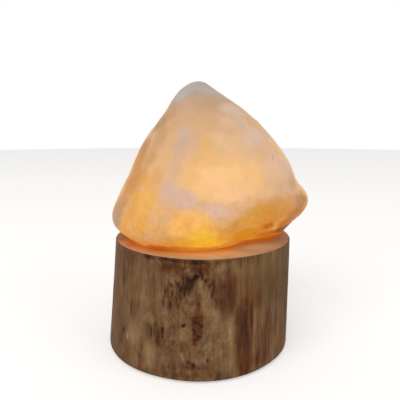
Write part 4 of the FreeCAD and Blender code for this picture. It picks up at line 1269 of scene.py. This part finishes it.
        Mark(170, 28, 12, 10, -0.10, 0.2, flecks=0.9),
        Mark(179, 22, 3, 9, -0.30, 0.4, -0.2, 0.2),
        Mark(205, 66, 9, 8, -0.24, 0.6),
        Mark(218, 36, 4.5, 9, -0.30, 0.8, 0.6, core=0.45, flecks=0.8),
        Mark(240, 54, 6, 20, -0.24, 0.6, -0.3, core=0.7),
        Mark(262, 22, 8, 16, 0.15, -0.2),
        Mark(90, 30, 7, 22, -0.14, 0.4),
        Mark(78, 62, 8, 14, 0.10, -0.3),
        Mark(140, 20, 7, 12, 0.16, 0.0),
        # the drying cracks
        Mark(29.3, 26, 0.4, 18, -0.16, 0.0, -0.4, 0.0, 0.5),
        Mark(-53, 62, 0.4, 10, -0.16, 0.0, -0.4, 0.0, 0.5),
        Mark(66, 40, 0.5, 28, -0.22, 0.0, -0.8, 0.01, 0.5),
        Mark(104, 70, 0.4, 12, -0.24, 0.0, -0.7, 0.0, 0.5),
        Mark(150, 24, 0.5, 22, -0.26, 0.0, -0.9, -0.01, 0.5),
        Mark(198, 20, 0.4, 18, -0.24, 0.0, -0.7, 0.0, 0.5),
        Mark(248, 66, 0.4, 14, -0.24, 0.0, -0.7, 0.0, 0.5),
        Mark(282, 44, 0.5, 26, -0.24, 0.0, -0.8, 0.01, 0.5),
    )

    def bearings(self, points_mm: np.ndarray) -> np.ndarray:
        """Each point's bearing in degrees, from the front towards the right."""
        return np.degrees(np.arctan2(points_mm[:, 0] - self.middle_x_mm, -points_mm[:, 1]))

    def paint(self, points_mm: np.ndarray) -> dict[str, np.ndarray]:
        """Works out what the marks do at each point.

        Args:
            points_mm: The points, as rows of three.

        Returns:
            The tone, the hue, the relief in millimetres, how far the fibres are pushed aside, how
            many flecks there are, the grain's contrast, and how far it is combed into streaks.
        """
        across = self.bearings(points_mm)
        up = points_mm[:, 2]
        sideways, upwards = (relief.at(points_mm) for relief in self.wander)
        tone, hue, relief, flecks, calm, push = (np.zeros(len(points_mm)) for _ in range(6))
        for mark in self.marks:
            turn = (across - mark.bearing + 180) % 360 - 180
            rise = up - mark.height_mm
            along = np.radians(turn) * self.side_radius_mm - mark.lean * rise
            wander = min(1.0, mark.half_width_mm / self.full_wander_mm)
            u = (along + sideways * wander) / mark.half_width_mm
            v = (rise + upwards * wander) / mark.half_height_mm
            if mark.half_height_mm > 3 * mark.half_width_mm:
                v = v * np.abs(v)
            weight = Span(1.0, mark.core).eased(np.hypot(u, v))
            tone += mark.tone * weight
            hue += mark.hue * weight
            relief += mark.relief_mm * weight
            flecks += mark.flecks * weight
            calm += mark.calm * weight
            if mark.is_knot:
                push -= mark.push_at(along, rise)
        combed = self.least_combed + self.combed_behind.eased(np.abs(across))
        for bearing, flank in ((across, self.combed_right), (-across, self.combed_left)):
            combed += flank.eased(bearing) * self.flank_end.eased(bearing)
        return {
            "tone": tone,
            "hue": np.clip(hue, -1, 1),
            "relief": relief,
            "push": push,
            "flecks": np.clip(flecks, 0, 1),
            "contrast": 1 - np.clip(calm, 0, self.most_calm),
            "combed": np.clip(combed, 0, 1),
        }

    def skin(self) -> Piece:
        """Makes the log's outer skin: a closed drum, a little taller than the log, with its relief.

        Returns:
            The drum.
        """
        low, high = self.foot_z_mm - self.overrun_mm, self.top_z_mm + self.overrun_mm
        deselect_all()
        bpy.ops.mesh.primitive_circle_add(
            vertices=self.sides,
            radius=self.side_radius_mm * MM,
            fill_type="NGON",
            location=(self.middle_x_mm * MM, 0.0, low * MM),
        )
        drum = bpy.context.object
        drum.name = self.name
        bpy.ops.object.mode_set(mode="EDIT")
        bpy.ops.mesh.select_all(action="SELECT")
        step = {"value": (0.0, 0.0, (high - low) / self.rows * MM)}
        for _ in range(self.rows):
            bpy.ops.mesh.extrude_region_move(TRANSFORM_OT_translate=step)
        bpy.ops.mesh.select_all(action="SELECT")
        bpy.ops.mesh.normals_make_consistent(inside=False)
        bpy.ops.object.mode_set(mode="OBJECT")
        settle(drum)
        points = points_of(drum) / MM
        reach = self.cad_reach(points)
        inset = np.full(len(points), self.peel_mm)
        for relief in self.fibres:
            inset -= relief.at(points)
        inset -= self.paint(points)["relief"]
        angle = np.arctan2(points[:, 1], points[:, 0] - self.middle_x_mm)
        radius = reach - np.maximum(inset, self.least_peel_mm)
        points[:, 0] = self.middle_x_mm + radius * np.cos(angle)
        points[:, 1] = radius * np.sin(angle)
        drum.data.vertices.foreach_set("co", (points * MM).ravel())
        drum.data.update()
        return drum

    def cad_reach(self, points_mm: np.ndarray) -> np.ndarray:
        """How far the CAD log reaches from its middle towards each point, in millimetres.

        Args:
            points_mm: The points, as rows of three.

        Returns:
            The CAD side's radius at each point's bearing and height.
        """
        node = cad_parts[self.node]
        tree = BVHTree.FromPolygons(
            [v.co for v in node.data.vertices], [tuple(p.vertices) for p in node.data.polygons]
        )
        low, high = self.foot_z_mm + self.rim_mm, self.top_z_mm - self.rim_mm
        found = np.full(len(points_mm), self.side_radius_mm)
        for k, (x, y, z) in enumerate(points_mm):
            level = min(max(z, low), high) * MM
            out = Vector((x - self.middle_x_mm, y, 0.0)).normalized()
            middle = Vector((self.middle_x_mm * MM, 0.0, level))
            start = middle + out * self.far
            hit = tree.ray_cast(start, -out)[0]
            if hit is not None:
                found[k] = (hit - middle).length / MM
        return found

    def sort_faces(self, log: Piece) -> None:
        """Numbers each face for its finish: the side, the top, the underside or the holes.

        Args:
            log: The log.
        """
        for face in log.data.polygons:
            x, y, z = face.center / MM
            in_groove = abs(x) < self.groove_half_mm and y > 0 and z < self.groove_top_mm
            if face.normal.z > self.upright and z > self.top_z_mm - self.end_slack_mm:
                kind = LogFace.TOP
            elif face.normal.z < -self.upright and z < self.foot_z_mm + self.end_slack_mm:
                kind = LogFace.UNDERSIDE
            elif math.hypot(x - self.middle_x_mm, y) > self.side_from_mm and not in_groove:
                kind = LogFace.SIDE
            else:
                kind = LogFace.HOLES
            face.material_index = kind.value

    def build(self) -> list[Piece]:
        """Builds the log, dresses it and lets it stand for its CAD node.

        Returns:
            The piece.
        """
        log = self.skin()
        solid = copy_of_node(self.node, "log_cutter")
        apply_modifier(log, "BOOLEAN", {"operation": "INTERSECT", "object": solid, "solver": "EXACT"})
        bpy.data.objects.remove(solid)
        points = points_of(log)
        painted = self.paint(points / MM)
        move_points(log, points)
        across = np.radians(self.bearings(points / MM))
        aside = np.stack([np.cos(across), np.sin(across), np.zeros(len(across))], axis=1)
        for name in ("tone", "hue", "flecks", "contrast", "combed"):
            add_attribute(log, name, painted[name])
        add_attribute(log, "fibre_flow", aside * (painted["push"] * MM)[:, None])
        log.data.materials.clear()
        for finish in self.finishes:
            log.data.materials.append(finish.finish())
        self.sort_faces(log)
        make_active(log)
        bpy.ops.object.shade_smooth_by_angle(angle=math.radians(self.smooth_below))
        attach(log, "base")
        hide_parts(self.node)
        return [log]


# ---------------------------------------------------------------- the fittings


class Make(Enum):
    """How a metal piece was made, which squeezes its fine marks along each axis."""

    ROLLED = (0.06, 1.0, 1.0)
    TURNED = (1.0, 1.0, 0.06)
    STAMPED = (1.0, 1.0, 1.0)


@dataclass(frozen=True)
class Metal(Finish):
    """A metal: bright, with the fine marks of its making, and duller where it has tarnished."""

    colour: str
    tarnish: str
    make: Make
    roughness: float
    mark_mm: float = 0.35
    mark_depth_mm: float = 0.05
    patch_mm: float = 6.0
    patch: Span = Span(0.42, 0.66, high=0.5)

    def finish(self) -> Material:
        """Makes the material, which keeps the default IOR, as a metal does.

        Returns:
            The material.
        """
        material, tree = new_material(self.name)
        place = add_node(tree, "TexCoord", out=3)
        along = add_node(tree, "VectorMath", TIMES, {0: place, 1: list(self.make.value)})
        marks = {"Vector": along, "Scale": per_metre(self.mark_mm), "Detail": 2.0}
        patches = {"Vector": place, "Scale": per_metre(self.patch_mm), "Detail": 5.0}
        scratch, patch = (add_node(tree, "TexNoise", None, waves) for waves in (marks, patches))
        dull = add_node(tree, "MapRange", EASED, self.patch.of(patch))
        inputs = {0: dull, 6: linear(self.colour), 7: linear(self.tarnish)}
        depth = {"Strength": 0.25, "Distance": self.mark_depth_mm * MM, "Height": scratch}
        finish_surface(tree, {
            "Base Color": add_node(tree, "Mix", RGBA, inputs, out=2),
            "Metallic": 1.0,
            "Roughness": sum_of(tree, self.roughness - 0.1, [(scratch, 0.2), (dull, 0.25)]),
            "Normal": add_node(tree, "Bump", None, depth),
        })
        return material


@dataclass(frozen=True)
class Moulding(Finish):
    """A moulded or fired piece: an even body colour with flow marks, under a slight orange peel."""

    colour: str
    shade: str
    roughness: float
    ior: float
    peel_mm: float = 1.6
    depth_mm: float = 0.03
    flow_mm: float = 9.0
    flow: Span = Span(0.35, 0.7)
    coat: float = 0.0
    clarity: float = 0.0
    clear_depth_mm: float = 1.5

    def finish(self) -> Material:
        """Makes the material, with a little light in the depth of a clear one.

        Returns:
            The material.
        """
        material, tree = new_material(self.name)
        place = add_node(tree, "TexCoord", out=3)
        flows = {"Vector": place, "Scale": per_metre(self.flow_mm), "Detail": 3.0}
        peels = {"Vector": place, "Scale": per_metre(self.peel_mm), "Detail": 2.0}
        flow, peel = (add_node(tree, "TexNoise", None, waves) for waves in (flows, peels))
        mask = add_node(tree, "MapRange", EASED, self.flow.of(flow))
        inputs = {0: mask, 6: linear(self.colour), 7: linear(self.shade)}
        depth = {"Strength": 0.3, "Distance": self.depth_mm * MM, "Height": peel}
        finish_surface(tree, {
            "Base Color": add_node(tree, "Mix", RGBA, inputs, out=2),
            "Roughness": sum_of(tree, self.roughness - 0.06, [(flow, 0.12)]),
            "IOR": self.ior,
            "Coat Weight": self.coat,
            "Coat Roughness": 0.08,
            "Subsurface Weight": self.clarity,
            "Subsurface Radius": (1.0, 0.9, 0.8),
            "Subsurface Scale": self.clear_depth_mm * MM,
            "Normal": add_node(tree, "Bump", None, depth),
        })
        return material


@dataclass(frozen=True)
class BlownGlass(Finish):
    """Lamp glass: clear, with the faint waves of blowing."""

    tint: str
    ior: float
    roughness: float = 0.01
    wave_mm: float = 7.0
    wave_depth_mm: float = 0.05

    def finish(self) -> Material:
        """Makes the material.

        Returns:
            The material.
        """
        material, tree = new_material(self.name)
        place = add_node(tree, "TexCoord", out=3)
        waves = add_node(tree, "TexNoise", None, {"Vector": place, "Scale": per_metre(self.wave_mm)})
        depth = {"Strength": 0.15, "Distance": self.wave_depth_mm * MM, "Height": waves}
        finish_surface(tree, {
            "Base Color": linear(self.tint),
            "Roughness": self.roughness,
            "IOR": self.ior,
            "Transmission Weight": 1.0,
            "Normal": add_node(tree, "Bump", None, depth),
        })
        return material


@dataclass(frozen=True)
class GlowingTungsten(Finish):
    """The lit filament: a yellow white glow, a little cooler in places."""

    metal: str = "#4A4642"
    hot: str = "#FFE3A8"
    cool: str = "#FFB45A"
    uneven_mm: float = 3.0
    strength: float = 30.0

    def finish(self) -> Material:
        """Makes the material.

        Returns:
            The material.
        """
        material, tree = new_material(self.name)
        place = add_node(tree, "TexCoord", out=3)
        waves = {"Vector": place, "Scale": per_metre(self.uneven_mm)}
        uneven = add_node(tree, "TexNoise", None, waves)
        inputs = {0: uneven, 6: linear(self.hot), 7: linear(self.cool)}
        finish_surface(tree, {
            "Base Color": linear(self.metal),
            "Metallic": 1.0,
            "Roughness": 0.5,
            "Emission Color": add_node(tree, "Mix", RGBA, inputs, out=2),
            "Emission Strength": self.strength,
        })
        return material


@dataclass(frozen=True)
class WoolFelt(Finish):
    """Pressed wool felt: matted fibres with no weave, soft and quite matt."""

    colour: str = "#3B322B"
    fibre: str = "#6A5D50"
    # wool is about 0.03 mm thick, which is too fine to show, so the fibres are drawn coarser
    fibre_mm: float = 0.5
    matted: Span = Span(0.35, 0.75)
    fibre_depth_mm: float = 0.2

    def finish(self) -> Material:
        """Makes the material.

        Returns:
            The material.
        """
        material, tree = new_material(self.name)
        place = add_node(tree, "TexCoord", out=3)
        waves = {"Vector": place, "Scale": per_metre(self.fibre_mm), "Detail": 4.0, "Distortion": 2.5}
        fibres = add_node(tree, "TexNoise", None, waves)
        mask = add_node(tree, "MapRange", None, self.matted.of(fibres))
        inputs = {0: mask, 6: linear(self.colour), 7: linear(self.fibre)}
        depth = {"Strength": 0.8, "Distance": self.fibre_depth_mm * MM, "Height": fibres}
        finish_surface(tree, {
            "Base Color": add_node(tree, "Mix", RGBA, inputs, out=2),
            "Roughness": 0.95,
            "Specular IOR Level": 0.1,
            "Sheen Weight": 0.4,
            "Normal": add_node(tree, "Bump", None, depth),
        })
        return material


# each finish with the CAD nodes that have it
Table = tuple[tuple[Finish, tuple[str, ...]], ...]
BRASS = Metal("rolled_brass", "#D9B26A", "#8E6A34", Make.ROLLED, 0.28)
ZINC_PLATE = Metal("zinc_plated_steel", "#C6C9CC", "#8F9092", Make.TURNED, 0.32)


@dataclass
class Fittings:
    """Pieces that keep their CAD form: each real material, and the nodes that are made of it."""

    finishes: Table = ()

    def build(self) -> list[Piece]:
        """Gives each CAD node its real material.

        Returns:
            The pieces.
        """
        pieces = []
        for finish, nodes in self.finishes:
            material = finish.finish()
            for node in nodes:
                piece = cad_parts[node]
                piece.data.materials.clear()
                piece.data.materials.append(material)
                pieces.append(piece)
        return pieces


@dataclass
class LampHolder(Fittings):
    """The small screw lamp holder, its spring bracket and its contacts."""

    finishes: Table = (
        (
            Moulding("moulded_white_thermoplastic", "#E8E6E0", "#DAD7CE", 0.38, 1.57),
            ("holder_sleeve", "holder_cap", "ring_nut"),
        ),
        (Moulding("white_nylon", "#E4E0D4", "#D2CCBB", 0.5, 1.53), ("cord_grip_screw",)),
        (Metal("tempered_spring_steel", "#A7A9AC", "#5F5E60", Make.ROLLED, 0.3), ("retaining_spring",)),
        (Moulding("pressed_steatite", "#EDE8DC", "#DCD3C0", 0.55, 1.6, 0.6, 0.05), ("contact_block",)),
        (BRASS, ("terminals", "screw_shell")),
        (ZINC_PLATE, ("terminal_screws",)),
        (Metal("phosphor_bronze", "#C98F58", "#7E5331", Make.ROLLED, 0.3), ("centre_contact",)),
    )


@dataclass
class Bulb(Fittings):
    """The small clear screw-cap bulb, lit."""

    finishes: Table = (
        (Metal("nickel_plated_brass", "#CFCBC2", "#98938A", Make.STAMPED, 0.22), ("bulb_cap",)),
        (Moulding("black_cap_glass", "#17171A", "#221F22", 0.12, 1.55, coat=0.5), ("bulb_insulator",)),
        (Metal("tin_solder", "#B9BABC", "#7B7B7E", Make.STAMPED, 0.35), ("bulb_tip",)),
        (BlownGlass("clear_soda_lime_glass", "#FFFFFF", 1.52), ("bulb_glass",)),
        (BlownGlass("clear_lead_glass", "#F4F8F2", 1.56), ("bulb_stem",)),
        (Metal("nickel_lead_wire", "#B4AEA6", "#77716A", Make.STAMPED, 0.35), ("bulb_leads",)),
        (GlowingTungsten("glowing_tungsten_wire"), ("filament",)),
    )


@dataclass
class BaseFixings(Fittings):
    """What holds the crystal to the log, and the cord in its groove."""

    finishes: Table = (
        (BRASS, ("cord_keeper",)),
        (ZINC_PLATE, ("keeper_screws", "fixing_screws", "screw_washers")),
        (Moulding("natural_nylon", "#E9E4D6", "#DDD5C0", 0.45, 1.53, clarity=0.4), ("crystal_plugs",)),
    )


@dataclass
class FeltPads:
    """The four felt discs that the log stands on, a little worn in at their edges."""

    name: str = "felt_discs"
    node: str = "felt_pads"
    discs: int = 4
    first_turn: float = 45.0
    radius_mm: float = 9.0
    thickness_mm: float = 1.5
    edge_mm: float = 0.35
    circle_mm: float = 52.4
    middle_x_mm: float = -6.9
    sides: int = 48
    worn_mm: float = 0.1
    worn: Relief = Relief(0.12, (1.3, 1.3, 1.3), 5.1, 2)
    worn_rim_mm: float = 1.0
    smooth_below: float = 50.0
    felt: WoolFelt = WoolFelt("pressed_wool_felt")

    def disc(self, turn: float) -> Piece:
        """Makes one disc, with its edge rounded and worn.

        Args:
            turn: Where it is on the circle, in degrees from +X.

        Returns:
            The disc, in place.
        """
        x = (self.middle_x_mm + self.circle_mm * math.cos(math.radians(turn))) * MM
        y = self.circle_mm * math.sin(math.radians(turn)) * MM
        deselect_all()
        bpy.ops.mesh.primitive_cylinder_add(
            vertices=self.sides,
            radius=self.radius_mm * MM,
            depth=self.thickness_mm * MM,
            end_fill_type="NGON",
            location=(x, y, self.thickness_mm / 2 * MM),
        )
        disc = bpy.context.object
        settle(disc)
        edge = {"width": self.edge_mm * MM, "segments": 3, "limit_method": "ANGLE"}
        apply_modifier(disc, "BEVEL", edge)
        points = points_of(disc)
        out = points[:, :2] - (x, y)
        far = np.hypot(out[:, 0], out[:, 1])
        rim = far > (self.radius_mm - self.worn_rim_mm) * MM
        inward = (self.worn_mm + np.abs(self.worn.at(points / MM))) * MM * rim
        points[:, :2] -= out * (inward / far)[:, None]
        move_points(disc, points)
        return disc

    def build(self) -> list[Piece]:
        """Makes the discs as one piece, dresses it and lets it stand for its CAD node.

        Returns:
            The piece.
        """
        discs = [self.disc(self.first_turn + 360 / self.discs * k) for k in range(self.discs)]
        deselect_all()
        for disc in discs:
            disc.select_set(True)
        bpy.context.view_layer.objects.active = discs[0]
        bpy.ops.object.join()
        pads = bpy.context.object
        pads.name = self.name
        bpy.ops.object.shade_smooth_by_angle(angle=math.radians(self.smooth_below))
        pads.data.materials.append(self.felt.finish())
        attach(pads, "base")
        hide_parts(self.node)
        return [pads]


# ---------------------------------------------------------------- the studio


@dataclass(frozen=True)
class SoftBox:
    """A square soft light that faces the object: its place and size in metres, and its power."""

    name: str
    at: Triple
    watts: float
    size: float
    aim: Triple = (0.0, 0.0, 0.1)

    def place(self) -> None:
        """Adds the light."""
        data = bpy.data.lights.new(self.name, "AREA")
        data.energy = self.watts
        data.size = self.size
        lamp = bpy.data.objects.new(self.name, data)
        lamp.location = self.at
        lamp.rotation_euler = (Vector(self.aim) - Vector(self.at)).to_track_quat("-Z", "Y").to_euler()
        bpy.context.scene.collection.objects.link(lamp)


@dataclass
class Studio:
    """The plain pale floor, the soft light and the camera at the photograph's angle."""

    camera_mm: Triple = (-5.25, -319.0, 162.5)
    pitch: float = 9.75
    lens_mm: float = 38.7
    sensor_mm: float = 36.0
    seen_from: float = 0.01
    seen_to: float = 20.0
    ambient: float = 0.5
    lights: tuple[SoftBox, ...] = (
        SoftBox("key_light", (-0.9, -1.3, 1.3), 14.0, 1.4),
        SoftBox("fill_light", (1.3, -0.9, 0.7), 5.0, 1.2),
    )
    floor_radius: float = 3.0
    floor_sides: int = 96
    floor_colour: str = "#EDEBE8"
    floor_lift: float = 0.42
    hole_radius_mm: float = 42.0
    hole_x_mm: float = -6.9

    def place_camera(self) -> None:
        """Puts the camera where the photograph was taken from, tilted down a little."""
        data = bpy.data.cameras.new("camera")
        data.lens = self.lens_mm
        data.sensor_width = self.sensor_mm
        data.clip_start = self.seen_from
        data.clip_end = self.seen_to
        camera = bpy.data.objects.new("camera", data)
        camera.location = [c * MM for c in self.camera_mm]
        camera.rotation_euler = (math.radians(90 - self.pitch), 0.0, 0.0)
        bpy.context.scene.collection.objects.link(camera)
        bpy.context.scene.camera = camera

    def seen_directly(self, tree: Tree) -> Any:
        """Tells the rays that see the white backdrop: camera, glossy and transmission rays.

        Args:
            tree: The node tree.

        Returns:
            A socket that is 1 for those rays.
        """
        camera, glossy, through = (add_node(tree, "LightPath", out=ray) for ray in (0, 3, 6))
        either = add_node(tree, "Math", LARGER, {0: camera, 1: glossy})
        return add_node(tree, "Math", LARGER, {0: either, 1: through})

    def light_world(self) -> None:
        """Lights the scene evenly from all round, before a white backdrop."""
        world = bpy.data.worlds.new("studio")
        bpy.context.scene.world = world
        world.use_nodes = True
        tree = world.node_tree
        tree.nodes.clear()
        ambient, white = (
            add_node(tree, "Background", None, {"Color": (1, 1, 1, 1), "Strength": strength})
            for strength in (self.ambient, 1.0)
        )
        mixed = add_node(tree, "MixShader", None, {0: self.seen_directly(tree), 1: ambient, 2: white})
        add_node(tree, "OutputWorld", None, {"Surface": mixed})

    def paint_floor(self) -> Material:
        """Makes the floor's matt board, lifted to white where it is seen, and clear from below.

        Returns:
            The material.
        """
        material, tree = new_material("pale_matt_board")
        board = add_node(tree, "BsdfDiffuse", None, {"Color": linear(self.floor_colour)})
        glow = {"Color": (1, 1, 1, 1), "Strength": self.floor_lift}
        lifted = add_node(tree, "AddShader", None, {0: board, 1: add_node(tree, "Emission", None, glow)})
        seen = add_node(tree, "MixShader", None, {0: self.seen_directly(tree), 1: board, 2: lifted})
        clear = add_node(tree, "BsdfTransparent")
        below = add_node(tree, "NewGeometry", out=6)
        surface = add_node(tree, "MixShader", None, {0: below, 1: seen, 2: clear})
        add_node(tree, "OutputMaterial", None, {"Surface": surface})
        return material

    def lay_floor(self) -> None:
        """Lays a pale floor that keeps the shadow, and is open under the log's bore."""
        deselect_all()
        bpy.ops.mesh.primitive_circle_add(
            vertices=self.floor_sides,
            radius=self.floor_radius,
            location=(self.hole_x_mm * MM, 0.0, 0.0),
        )
        floor = bpy.context.object
        floor.name = "floor"
        bpy.ops.object.mode_set(mode="EDIT")
        bpy.ops.mesh.select_all(action="SELECT")
        bpy.ops.mesh.extrude_edges_move()
        shrink = self.hole_radius_mm * MM / self.floor_radius
        bpy.ops.transform.resize(value=(shrink, shrink, 1.0))
        bpy.ops.mesh.select_all(action="SELECT")
        bpy.ops.mesh.normals_make_consistent(inside=False)
        bpy.ops.object.mode_set(mode="OBJECT")
        settle(floor)
        if floor.data.polygons[0].normal.z < 0:
            bpy.ops.object.mode_set(mode="EDIT")
            bpy.ops.mesh.flip_normals()
            bpy.ops.object.mode_set(mode="OBJECT")
        floor.data.materials.append(self.paint_floor())

    def build(self) -> None:
        """Sets up the camera, the lights, the floor and the plain colour settings."""
        self.place_camera()
        self.light_world()
        for light in self.lights:
            light.place()
        self.lay_floor()
        bpy.context.scene.view_settings.view_transform = "Standard"


def main() -> None:
    """Builds the studio and every sub-assembly, and reports each piece."""
    logging.basicConfig(level=logging.INFO, format="%(name)s: %(message)s")
    Studio().build()
    for part in (LampHolder(), Bulb(), BaseFixings(), FeltPads(), SaltCrystal(), LogBase()):
        for piece in part.build():
            LOGGER.info("%s has %d faces", piece.name, len(piece.data.polygons))


if __name__ == "__main__":
    main()
